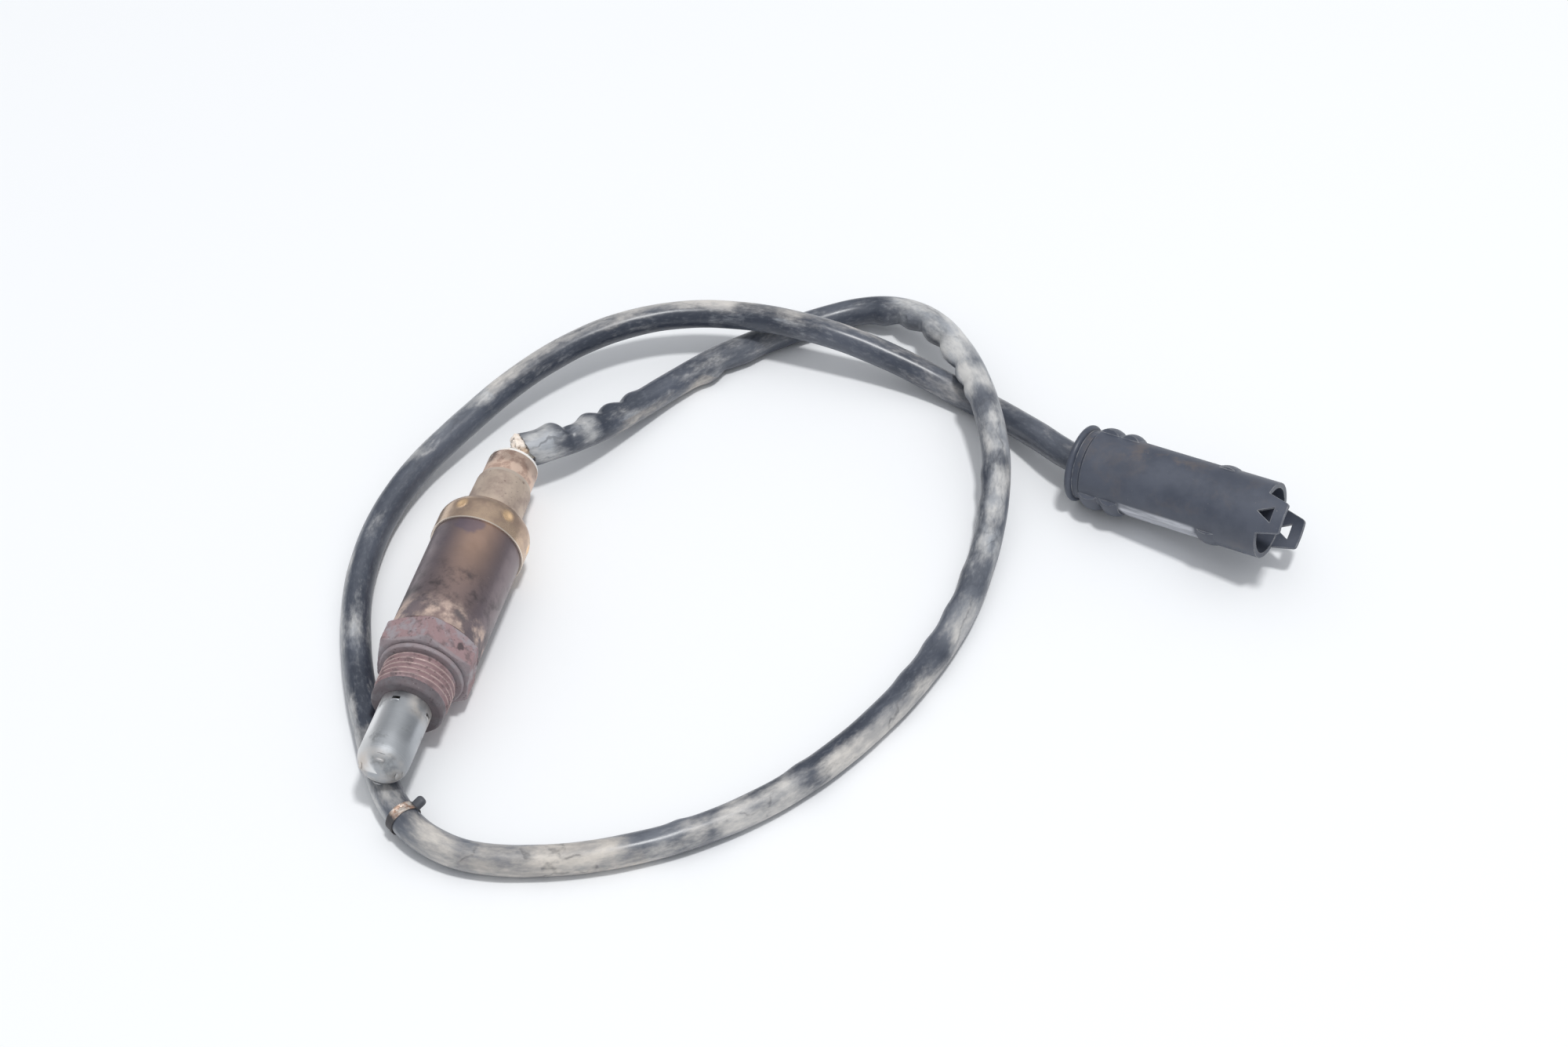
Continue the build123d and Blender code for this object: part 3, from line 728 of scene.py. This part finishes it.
def heat_tinted_steel():
    """Body sleeve: bronze-brown heat tint with a painted highlight in gold along its top, scoured and blotchy
    by the hexagon.
    """
    material, shader, place = new_finish("heat_tinted_steel")
    on_probe = place_on_probe(place)
    station, clock = on_probe["station"], on_probe["clock"]
    lines = turning_lines(place, station, 0.4)
    cloud = patches(place, 120.0, 0.40, 0.64)
    blotch = patches(place, 190.0, 0.43, 0.64)
    stain = patches(place, 160.0, 0.46, 0.68)
    scratches = patches(place, 1300.0, 0.64, 0.74)
    # The top and upper bands shape a painted highlight in gold along the top of the sleeve.
    top = band(clock, 52.0, 98.0, 22.0)
    upper = band(station, 56.0, 78.0, 9.0)
    scoured = band(station, 38.0, 45.0, 3.2)
    sooty = band(station, 43.0, 56.0, 4.0)
    violet = spot(place, station, clock, at_station=70.2, at_clock=92.0, length=3.4, width=20.0, ragged=1.0)
    # The golden band along the top is a painted highlight, lighter where the light falls on the sleeve.
    golden = times(top, level(upper, 0.35, 0.9))
    ashy = times(scoured, times(stain, level(blotch, 1.0, 0.0)))
    colour = covered(
        blend(cloud, (128, 116, 120), (108, 98, 105)), (golden, (177, 146, 128)),
        (lines, (156, 142, 138), 0.25), (times(sooty, stain), (88, 81, 83)), (violet, (114, 106, 124), 0.6),
        (times(scoured, blotch), (216, 192, 178)), (ashy, (106, 102, 104), 0.8),
        (scratches, (184, 170, 164), 0.35),
    )
    dull = larger(scoured, times(cloud, 0.5))
    metallic = level(dull, 0.82, 0.45)
    set_inputs(shader, base_color=colour, metallic=metallic, roughness=level(dull, 0.33, 0.58))
    relief(shader, reckon("ADD", lines, blotch), 0.03, 0.3)
    return material


def golden_steel():
    """Cap: golden-olive collar with a painted highlight along its lower edge, grey-brown neck, pinkish rusted
    end, bright where it was staked: partly worn metal, partly painted glints.
    """
    material, shader, place = new_finish("golden_steel")
    on_probe = place_on_probe(place)
    station = on_probe["station"]
    lines = turning_lines(place, station, 0.35)
    cloud = patches(place, 170.0, 0.40, 0.65)
    rust = patches(place, 380.0, 0.46, 0.62)
    marks = patches(place, 800.0, 0.60, 0.70)
    neck = band(station, 80.6, 97.0, 0.8)
    end = band(station, 94.1, 104.0, 0.25)
    step = band(station, 92.9, 94.2, 0.25)
    # A thin bright line at the collar's lower edge is a painted highlight.
    rim = band(station, 70.8, 71.65, 0.06)
    # Where it was staked the colour is bright: partly worn metal and partly painted glints.
    staked = attribute(material.node_tree, "staked")["Fac"]
    colour = covered(
        blend(cloud, (208, 182, 158), (178, 154, 138)),
        (neck, blend(cloud, (205, 187, 171), (174, 155, 144))),
        (times(neck, times(marks, 0.6)), (128, 108, 102)),
        (end, blend(rust, (238, 210, 191), (204, 172, 155))),
        (step, (218, 204, 190), 0.7), (rim, (240, 228, 214), 0.85), (staked, (255, 216, 172)),
    )
    dull = reckon("SUBTRACT", larger(neck, times(cloud, 0.4)), staked)
    metallic = level(neck, 0.85, 0.55)
    set_inputs(shader, base_color=colour, metallic=metallic, roughness=level(dull, 0.26, 0.52))
    relief(shader, reckon("ADD", lines, times(rust, end)), 0.04, 0.35)
    return material


def connector_plastic(name="connector_plastic", colour=(72, 77, 89), smudge=(110, 101, 97)):
    """Slate moulded plastic: grained, smudged, scuffed along its edges and rubbed pale on the lower flat."""
    material, shader, place = new_finish(name)
    tree = material.node_tree
    on_connector = place_on_connector(place)
    station, rise = on_connector["station"], on_connector["rise"]
    cloud = patches(place, 70.0, 0.38, 0.66)
    smear = patches(place, 130.0, 0.50, 0.68)
    rubbed = patches(place, 520.0, 0.32, 0.58)
    specks = patches(place, 1700.0, 0.69, 0.75)
    lower = band(rise, -14.0, -7.9, 0.3)
    grip = band(station, 15.2, 35.2, 0.7)
    upper = band(rise, 3.6, 8.6, 1.6)
    middle = band(station, 15.0, 31.0, 4.0)
    back_rim = band(station, -3.0, 3.6, 0.6)
    drawn_out = put(tree, "CombineXYZ", {
        "X": times(station, 0.12), "Y": rise, "Z": times(on_connector["face"], 0.8),
    }).outputs[0]
    streak = patches(drawn_out, 0.9, 0.30, 0.62)
    soft_edge = put(tree, "Bevel", {"Radius": 0.35 * mm}, samples=6).outputs[0]
    turn = reckon_vector("DOT_PRODUCT", soft_edge, put(tree, "NewGeometry").outputs["Normal"])
    worn = times(ramp(turn, 0.985, 0.90, kind="LINEAR"), rubbed)
    scuffed = times(times(lower, grip), level(streak, 0.35, 1.0))
    dirty = larger(times(upper, middle), times(back_rim, 0.8))
    plain = covered(
        blend(cloud, colour, tuple(value + 14 for value in colour)),
        (times(smear, level(dirty, 0.25, 0.75)), smudge), (scuffed, (196, 198, 205)),
        (worn, (170, 171, 173), 0.85), (specks, (176, 174, 170), 0.6),
    )
    set_inputs(shader, base_color=plain, roughness=level(larger(cloud, worn), 0.38, 0.54))
    bump = relief(shader, noise_at(place, 2600.0, 4.0), 0.02, 0.35)
    set_inputs(bump, normal=soft_edge)
    return material


def white_ptfe():
    """Waxy white plug with faint stains."""
    material, shader, place = new_finish("white_ptfe")
    stain = patches(place, 350.0, 0.52, 0.72)
    set_inputs(
        shader, base_color=blend(stain, (244, 242, 238), (222, 212, 198)), roughness=level(stain, 0.42, 0.6),
        subsurface_weight=0.1, subsurface_radius=(0.0006, 0.0005, 0.0004),
    )
    return material


def glass_fibre():
    """Frayed fibre: cream, browner in patches, and painted shade in dark spots for the gaps between shreds.
    """
    material, shader, place = new_finish("glass_fibre")
    burnt = patches(place, 420.0, 0.48, 0.66)
    # The dark spots are painted shade for the gaps between the shreds.
    dark = patches(place, 800.0, 0.55, 0.63)
    colour = covered(blend(burnt, (250, 238, 226), (222, 196, 172)), (dark, (78, 60, 50), 0.8))
    set_inputs(shader, base_color=colour, roughness=level(burnt, 0.6, 0.85))
    return material


def tie_bronze():
    """Metal strip, dark round its sides; on its top, coppery metal worn through with painted highlight
    streaks in near white.
    """
    material, shader, place = new_finish("tie_bronze")
    height = put(material.node_tree, "SeparateXYZ", {"Vector": place}).outputs["Z"]
    streak = patches(place, 700.0, 0.40, 0.60)
    worn = patches(place, 300.0, 0.36, 0.58)
    # The coppery top with near-white streaks is partly worn metal and partly a painted highlight, where the
    # light falls from above.
    top = band(height, 7.9 * mm, 20 * mm, 0.4 * mm)
    bare = times(top, level(worn, 0.55, 1.0))
    colour = blend(bare, (74, 72, 74), blend(streak, (208, 170, 148), (250, 238, 226)))
    set_inputs(shader, base_color=colour, metallic=level(bare, 0.1, 0.8), roughness=level(bare, 0.6, 0.28))
    relief(shader, streak, 0.08, 0.6)
    return material


def grainy(name, base, fleck, roughness, scale, metallic=0.0):
    """Plain inner finish: a ground with flecks and a fine grain."""
    material, shader, place = new_finish(name)
    flecks = patches(place, scale, 0.46, 0.66)
    skin = pits(place, scale * 3)
    rough = level(flecks, roughness, roughness + 0.14)
    set_inputs(shader, base_color=blend(flecks, base, fleck), roughness=rough, metallic=metallic)
    relief(shader, skin["height"], 0.03, 0.4)
    return material


def dress_nodes(finishes):
    """Give each CAD node the finish of its slot."""
    slots = {row["node"]: row["material_slot"] for row in frame["record"]["subparts"]}
    for name, node in nodes.items():
        node.data.materials.clear()
        node.data.materials.append(finishes[slots[name]])


def make_camera():
    data = bpy.data.cameras.new("camera")
    data.lens = camera_lens
    data.sensor_width = camera_sensor
    data.clip_start, data.clip_end = camera_clip
    camera = add_object("camera", data)
    flat = cos(camera_elevation)
    back = Vector((sin(camera_azimuth) * flat, -cos(camera_azimuth) * flat, sin(camera_elevation)))
    camera.location = camera_target + back * camera_distance
    camera.rotation_euler = (-back).to_track_quat("-Z", "Y").to_euler()
    bpy.context.scene.camera = camera


def make_table():
    deselect()
    bpy.ops.mesh.primitive_plane_add(size=table_size, location=(0, 0, 0))
    table = name_new("pale_table")
    material, shader = new_material("pale_table")
    set_inputs(shader, base_color=table_colour, roughness=table_roughness)
    table.data.materials.append(material)
    table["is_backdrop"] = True


def make_light():
    """Soft room light, brighter overhead than half way down, and one small lamp high up on the right."""
    world = bpy.data.worlds.new("studio")
    bpy.context.scene.world = world
    world.use_nodes = True
    tree = world.node_tree
    direction = put(tree, "TexCoord").outputs["Generated"]
    height = put(tree, "SeparateXYZ", {"Vector": direction}).outputs["Z"]
    room = put(tree, "ValToRGB", {"Fac": height})
    stops = room.color_ramp.elements
    low, middle, high = room_colours
    stops[0].position, stops[0].color = low
    stops[1].position, stops[1].color = high
    stops.new(middle[0]).color = middle[1]
    set_inputs(tree.nodes["Background"], color=room.outputs["Color"], strength=room_strength)
    deselect()
    bpy.ops.object.light_add(type="AREA", location=lamp_place)
    lamp = name_new("high_lamp")
    lamp.data.shape = "DISK"
    lamp.data.size = lamp_size
    lamp.data.energy = lamp_energy
    lamp.rotation_euler = (lamp_target - lamp_place).to_track_quat("-Z", "Y").to_euler()
    bpy.context.scene.view_settings.view_transform = "Standard"


def finish_piece(piece, material, slot):
    """Smooth a finished piece, give it its material and let it ride on the sensor."""
    select_only(piece)
    bpy.ops.object.shade_smooth_by_angle(angle=smooth_angle)
    piece.data.materials.clear()
    piece.data.materials.append(material)
    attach(piece, "root")


def thread_solid():
    """Right-hand ridge: its outline wound up, closed at both ends and trimmed to a chamfered blank."""
    crest = thread_d / 2
    root = crest - thread_depth
    foot = root - thread_foot
    start = s_pilot - thread_pitch
    thread = outline("thread", [
        (foot, start - thread_flank), (root, start - thread_flank), (crest, start - thread_crest),
        (crest, start + thread_crest), (root, start + thread_flank), (foot, start + thread_flank),
    ])
    shape_with(
        thread, "SCREW", axis="Z", angle=tau, screw_offset=thread_pitch * mm, iterations=thread_turns,
        steps=thread_steps, render_steps=thread_steps,
    )
    with edit_mode():
        bpy.ops.mesh.fill_holes(sides=0)
        bpy.ops.mesh.select_all(action="SELECT")
        bpy.ops.mesh.normals_make_consistent(inside=False)
    run_in = (thread_d - pilot_d) / 2 + thread_lead
    run_out = (thread_d - relief_d) / 2
    end = s_washer - 0.05
    blank = spun("thread_blank", [
        (0, s_thread), (crest - run_in, s_thread), (crest, s_thread + run_in), (crest, s_washer - run_out),
        (crest - run_out, end), (0, end),
    ])
    cut_with(thread, blank, "INTERSECT")
    return thread


def make_housing(material):
    """Rusted body: hexagon trimmed by a chamfered blank, shank, wound thread, spigot and bores."""
    flat_r = hexagon_flats / 2
    corner_r = flat_r / cos(radians(30))
    deselect()
    bpy.ops.mesh.primitive_cylinder_add(
        vertices=6, radius=corner_r * mm, depth=(s_sleeve - s_hexagon) * mm,
        location=(0, 0, (s_hexagon + s_sleeve) / 2 * mm),
    )
    housing = name_new("housing")
    bpy.ops.object.transform_apply(location=True, rotation=True, scale=True)
    corner = housing.data.vertices[0].co
    turn = atan2(*clock_direction(hexagon_corner).yx) - atan2(corner.y, corner.x)
    housing.data.transform(Matrix.Rotation(turn, 4, "Z"))
    drop = (corner_r - flat_r) * tan(radians(hexagon_chamfer))
    blank_r = corner_r + 0.1
    blank = spun("hexagon_blank", [
        (0, s_hexagon), (flat_r, s_hexagon), (blank_r, s_hexagon + drop), (blank_r, s_sleeve - drop),
        (flat_r, s_sleeve), (0, s_sleeve),
    ])
    cut_with(housing, blank, "INTERSECT")
    pilot_r, relief_r, spigot_r = pilot_d / 2, relief_d / 2, spigot_d / 2
    root_r = thread_d / 2 - thread_depth
    s_relief = s_washer - relief_length
    s_inside = s_hexagon + 0.1
    shank = spun("shank", [
        (0, s_housing), (pilot_r - housing_edge, s_housing), (pilot_r, s_housing + housing_edge),
        (pilot_r, s_pilot - pilot_edge), (pilot_r - pilot_edge, s_pilot), (root_r, s_pilot),
        (root_r, s_relief), (relief_r, s_relief), (relief_r, s_inside), (spigot_r, s_inside),
        (spigot_r, s_spigot), (0, s_spigot),
    ])
    cut_with(housing, shank, "UNION")
    cut_with(housing, thread_solid(), "UNION")
    below, above = s_housing - 1, s_spigot + 1
    s_crimp = s_housing + crimp_height
    bores = spun("bores", [
        (0, below), *(
            (width / 2, height)
            for width, low, high in (
                (crimped_mouth_d, below, s_crimp), (tube_recess_d, s_crimp, s_tube_seat),
                (element_bore_d, s_tube_seat, s_element_seat), (element_collar_d, s_element_seat, s_powder),
                (powder_bore_d, s_powder, above),
            )
            for height in (low, high)
        ), (0, above),
    ])
    cut_with(housing, bores, "DIFFERENCE")
    shape_with(housing, "REMESH", mode="VOXEL", voxel_size=skin_voxel * mm, use_smooth_shade=True)
    shape_with(housing, "SMOOTH", factor=0.4, iterations=2)
    roughen(housing, "rust_scale", grain=1.6, depth=3, strength=0.16, mid_level=0.55)
    seat(housing, probe_place)
    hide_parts("sensor_housing")
    finish_piece(housing, material, "rusted_steel")


def cap_profile():
    """Half section of the cap's sheet: up its outside and down its inside."""
    shoulder_r = (collar_d - neck_base_d) / 2
    collar_r, neck_r, top_r, end_r = collar_d / 2, neck_base_d / 2, neck_top_d / 2, end_d / 2
    outside = [(collar_r - cap_edge, s_collar)]
    outside += [(collar_r, s_collar + cap_edge + collar_row * row) for row in range(collar_rows + 1)]
    for row in range(shoulder_rows + 1):
        rise = pi / 2 * row / shoulder_rows
        outside.append((neck_r + shoulder_r * cos(rise), s_shoulder + shoulder_r * sin(rise)))
    for share in (0.03, 0.5, 0.96):
        outside.append((neck_r + (top_r - neck_r) * share, s_neck + (s_step - s_neck) * share))
    outside += [
        (top_r - 0.06, s_step), (top_r - 0.2, s_step + 0.25), (end_r + 0.1, s_end - 0.15),
        (end_r, s_end + 0.15), (end_r, s_mouth - 0.2), (end_r - cap_edge, s_mouth),
    ]
    inside = [
        (end_r - cap_wall, s_mouth), (end_r - cap_wall, s_end), (top_r - cap_wall, s_step),
        (neck_r - cap_wall, s_neck - cap_wall), (neck_r, s_neck - cap_wall),
    ]
    reach = shoulder_r - cap_wall
    for row in range(1, shoulder_rows_inside + 1):
        rise = pi / 2 * (1 - row / shoulder_rows_inside)
        inside.append((neck_r + reach * cos(rise), s_shoulder + reach * sin(rise)))
    inside.append((collar_r - cap_wall, s_collar))
    return outside + inside


def make_cap(material):
    """Stepped cap spun from sheet, with six dimples staked into its collar."""
    cap = spun("cap", cap_profile(), steps=144)
    select_only(cap)
    with edit_mode():
        bpy.ops.mesh.select_all(action="DESELECT")
    staked = [0.0] * len(cap.data.vertices)
    for number in range(dimple_count):
        outward = clock_direction(dimple_clock + 360 * number / dimple_count)
        centre = (outward * (collar_d / 2) + Vector((0, 0, dimple_station))) * mm
        away = [(vertex.co - centre).length / mm for vertex in cap.data.vertices]
        staked = [max(old, min(1.0, 2.0 - 1.05 * near)) for old, near in zip(staked, away)]
        closest = min(away)
        for vertex, near in zip(cap.data.vertices, away):
            vertex.select = near == closest
        bpy.ops.object.mode_set(mode="EDIT")
        bpy.ops.mesh.select_mode(type="VERT")
        bpy.ops.transform.translate(
            value=outward * -dimple_depth * mm, use_proportional_edit=True, use_proportional_connected=True,
            proportional_edit_falloff="SMOOTH", proportional_size=dimple_reach * mm,
        )
        bpy.ops.mesh.select_all(action="DESELECT")
        bpy.ops.object.mode_set(mode="OBJECT")
    # The staked weights also feed the finish, which paints the dimples bright as worn metal and painted
    # glints.
    keep_values(cap.data, "staked", staked)
    seat(cap, probe_place)
    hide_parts("cap_sleeve")
    finish_piece(cap, material, "golden_steel")


def make_slit_lips(material):
    """Raised lip on the closed-end side of each gas slit in the tube."""
    deselect()
    bpy.ops.mesh.primitive_uv_sphere_add(segments=24, ring_count=12, radius=mm)
    lip = name_new("slit_lips")
    with edit_mode():
        bpy.ops.transform.resize(value=lip_size)
        bpy.ops.mesh.bisect(
            plane_co=(-lip_cut * mm, 0, 0), plane_no=(1, 0, 0), use_fill=True, clear_inner=True,
        )
    by_housing = moved(tube_r - lip_sunk, 0, s_slit_lips)
    in_end = moved(end_lip_r, 0, s_end_lips) @ turned(end_lip_lean, "Y")
    places = [turned(-clock, "Z") @ by_housing for clock in slit_clocks]
    places += [turned(-clock, "Z") @ in_end for clock in end_slit_clocks]
    copy_to(lip, places)
    seat(lip, probe_place)
    finish_piece(lip, material, "tube_steel")


def make_frayed_fibre(material):
    """Torn fibre sleeve: a ragged pack in the cable's mouth, and one shred bent and copied round it."""
    deselect()
    bpy.ops.mesh.primitive_circle_add(vertices=6, radius=shred_r * mm, fill_type="NGON")
    fibre = name_new("frayed_fibre")
    with edit_mode():
        bpy.ops.mesh.spin(steps=8, angle=shred_bend, center=(shred_bend_r * mm, 0, 0), axis=(0, 1, 0))
        bpy.ops.transform.resize(value=[shred_scale] * 3)
        bpy.ops.mesh.select_all(action="SELECT")
        bpy.ops.mesh.normals_make_consistent(inside=False)

    start = Vector(cable_route[0]) * mm
    ahead = (Vector(cable_route[1]) * mm - start).normalized()
    side, up = beside(ahead)
    mouth_place = axes_at(start + (up - side) * mouth_lift, up, side, -ahead)
    mouth_place @= moved(*fibre_shift)
    pack = spun("fibre_pack", fibre_pack, steps=48)
    shape_with(pack, "SUBSURF", levels=2, render_levels=2, subdivision_type="SIMPLE")
    roughen(pack, "torn_fibre", grain=0.9, depth=3, strength=1.3, mid_level=0.6)
    seat(pack, mouth_place)
    pick = Random(11)
    places = []
    for number in range(shred_count):
        round_mouth = pick.gauss(-35, 70)
        length = pick.uniform(0.55, 0.95)
        deep = pick.uniform(2.2, 3.4)
        place = mouth_place @ turned(round_mouth, "Z") @ moved(deep, 0, -1.0)
        place @= turned(pick.uniform(-16, 16), "Z")
        place @= turned(pick.uniform(2, 20), "Y")
        bend = length * pick.uniform(-0.8, 0.4)
        place @= Matrix.Diagonal((bend, pick.choice((1.0, 1.6, 2.4)), length, 1))
        places.append(place)
    copy_to(fibre, places, [pack])
    mend_normals(fibre)
    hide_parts("braid_liner")
    finish_piece(fibre, material, "glass_fibre")


def make_tie(strip_material, stub_material):
    """Crinkled metal band round the cable, with the rounded stub of its cut-off tail."""
    run = (tie_to - tie_from).normalized()
    inward, above = beside(run)
    tie_axes = axes_at(tie_from.lerp(tie_to, tie_place), inward, above, inward.cross(above))
    inner = tie_bore / 2
    outer = inner + tie_band
    half = tie_width / 2
    strip = spun("tie_band", [
        (inner, -half), (outer - tie_edge, -half), (outer, -half + tie_edge), (outer, -tie_groove_half),
        (outer - tie_groove, 0), (outer, tie_groove_half), (outer, half - tie_edge), (outer - tie_edge, half),
        (inner, half),
    ], steps=120)
    roughen(strip, "tie_crinkle", grain=1.2, depth=2, strength=0.12, mid_level=0.6)
    seat(strip, tie_axes)
    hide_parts("cable_tie")
    finish_piece(strip, strip_material, "tie_bronze")

    deselect()
    bpy.ops.mesh.primitive_cube_add(size=1)
    stub = name_new("tie_stub")
    with edit_mode():
        bpy.ops.transform.resize(value=(stub_length * mm, stub_height * mm, tie_width * mm))
        bpy.ops.transform.translate(value=((outer + stub_out) * mm, 0, 0))
    shape_with(stub, "BEVEL", width=stub_edge * mm, segments=6, limit_method="NONE")
    stub.data.transform(Matrix.Rotation(stub_turn, 4, "Z"))
    seat(stub, tie_axes)
    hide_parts("cable_tie")
    finish_piece(stub, stub_material, "connector_plastic")
    return [strip, stub]


def cable_line():
    """Points along the cable's smooth line, which rises a little towards its torn mouth."""
    curve = bpy.data.curves.new("cable_route", "CURVE")
    curve.dimensions = "3D"
    curve.resolution_u = 30
    spline = curve.splines.new("NURBS")
    spline.points.add(len(cable_route) - 1)
    for point, place in zip(spline.points, cable_route):
        point.co = (*(Vector(place) * mm), 1)
    spline.order_u = 3
    spline.use_endpoint_u = True
    holder = add_object("cable_route", curve)
    bpy.context.view_layer.update()
    line = bpy.data.meshes.new_from_object(holder)
    points = [vertex.co.copy() for vertex in line.vertices]
    lift = (sky - beside(points[1] - points[0])[0]) * mouth_lift
    start = points[0].copy()
    for point in points[:lifted_points]:
        point += lift * exp(-(((point - start).length / lift_reach) ** 2))
    bpy.data.objects.remove(holder)
    bpy.data.meshes.remove(line)
    bpy.data.curves.remove(curve)
    return points


def fold_height(distance, angle):
    """How far the sheath stands out at a place, in metres."""
    height = 0.0
    for place, side, rise, half in cable_folds:
        along = (distance - place) / half
        if abs(along) < 3:
            height += rise * exp(-along * along) * max(0.0, cos(angle - radians(side))) ** 1.5
    flare = mouth_flare * exp(-((distance / flare_reach) ** 2))
    ripple = skin_ripple * noise.noise(Vector((distance / ripple_length, cos(angle), sin(angle))))
    return (height + flare + ripple) * mm


def torn_back(distance, angle):
    """How far the torn mouth is drawn along the cable at a place, in metres."""
    torn = 0.6 * noise.noise(Vector((3.1 * cos(angle), 3.1 * sin(angle), 0.7)))
    torn += 0.4 * noise.noise(Vector((9 * cos(angle), 9 * sin(angle), 4.2)))
    torn -= 0.6 + 1.6 * cos(angle + radians(45))
    return torn * mm * exp(-distance / torn_reach)


def dust_at(distance, angle):
    """Amount of dust on the sheath at a place, partly a painted highlight along the top, and how tan it is.
    """
    dust = bare_dust
    tan_share = 0.0
    for start, end, side, spread, amount, tan_amount in cable_dust:
        soft = min(dust_fade, (end - start) / 3)
        inside = min(1.0, max(0.0, (distance - start + soft) / (2 * soft)))
        inside *= min(1.0, max(0.0, (end + soft - distance) / (2 * soft)))
        if inside == 0:
            continue
        off = abs((degrees(angle) - side + 180) % 360 - 180)
        near = 1 / (1 + exp((off - spread) / dust_blur))
        if amount * inside * near > dust:
            dust = amount * inside * near
            tan_share = tan_amount
    return dust, tan_share


def make_cable(material, on_cable):
    """Sheath: rings along the line, turned in at the torn mouth, with folds, and dust, partly a painted
    highlight, kept as attributes.
    """
    line = cable_line()
    rings = [(index, sheath_wall) for index in range(turned_in_points, -1, -2)]
    rings += [(index, 0) for index in range(len(line))]
    distances = [0.0]
    for before, after in zip(line, line[1:]):
        distances.append(distances[-1] + (after - before).length)
    vertices = []
    dust = []
    tan_share = []
    laid = []
    for index, inward in rings:
        ahead = line[min(index + 1, len(line) - 1)]
        behind = line[max(index - 1, 0)]
        along = (ahead - behind).normalized()
        side, up = beside(along)
        distance = distances[index] / mm
        for step in range(cable_sides):
            angle = tau * step / cable_sides
            radius = cable_diameter / 2 + fold_height(distance, angle) - inward
            back = along * torn_back(distance, angle)
            vertices.append(line[index] + (up * cos(angle) + side * sin(angle)) * radius + back)
            laid += (0.4 * distance * mm, radius * cos(angle), radius * sin(angle))
            amount, share = dust_at(distance, angle)
            dust.append(amount)
            tan_share.append(share)
    faces = []
    for ring in range(len(rings) - 1):
        for step in range(cable_sides):
            a = ring * cable_sides + step
            b = ring * cable_sides + (step + 1) % cable_sides
            faces.append((a, b, b + cable_sides, a + cable_sides))
    last = (len(rings) - 1) * cable_sides
    faces.append(tuple(range(cable_sides - 1, -1, -1)))
    faces.append(tuple(range(last, last + cable_sides)))
    mesh = bpy.data.meshes.new("sensor_cable")
    mesh.from_pydata(vertices, [], faces)
    keep_values(mesh, "dust", dust)
    keep_values(mesh, "tan_share", tan_share)
    mesh.attributes.new("laid", "FLOAT_VECTOR", "POINT").data.foreach_set("vector", laid)
    cable = add_object("sensor_cable", mesh)
    mend_normals(cable)
    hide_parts("cable_sheath")
    finish_piece(cable, material, "cable_rubber")


finishes = {make.__name__: make() for make in (
    tube_steel, rusted_steel, heat_tinted_steel, golden_steel, white_ptfe, glass_fibre, cable_rubber,
    tie_bronze, connector_plastic,
)}
for name, look in inner_finishes.items():
    finishes[name] = grainy(name, *look)

make_camera()
make_table()
make_light()
dress_nodes(finishes)
make_housing(finishes["rusted_steel"])
make_cap(finishes["golden_steel"])
make_slit_lips(finishes["tube_steel"])
make_frayed_fibre(finishes["glass_fibre"])
tie = make_tie(finishes["tie_bronze"], connector_plastic("tie_stub_plastic", (74, 76, 82), (96, 92, 88)))
make_cable(
    finishes["cable_rubber"],
    [nodes["connector_shell"], nodes["contact_carrier"], nodes["rear_seal"], *tie],
)

sizes = {"cad": [list(corner) for corner in cad_box], "visual": [list(corner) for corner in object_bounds()]}
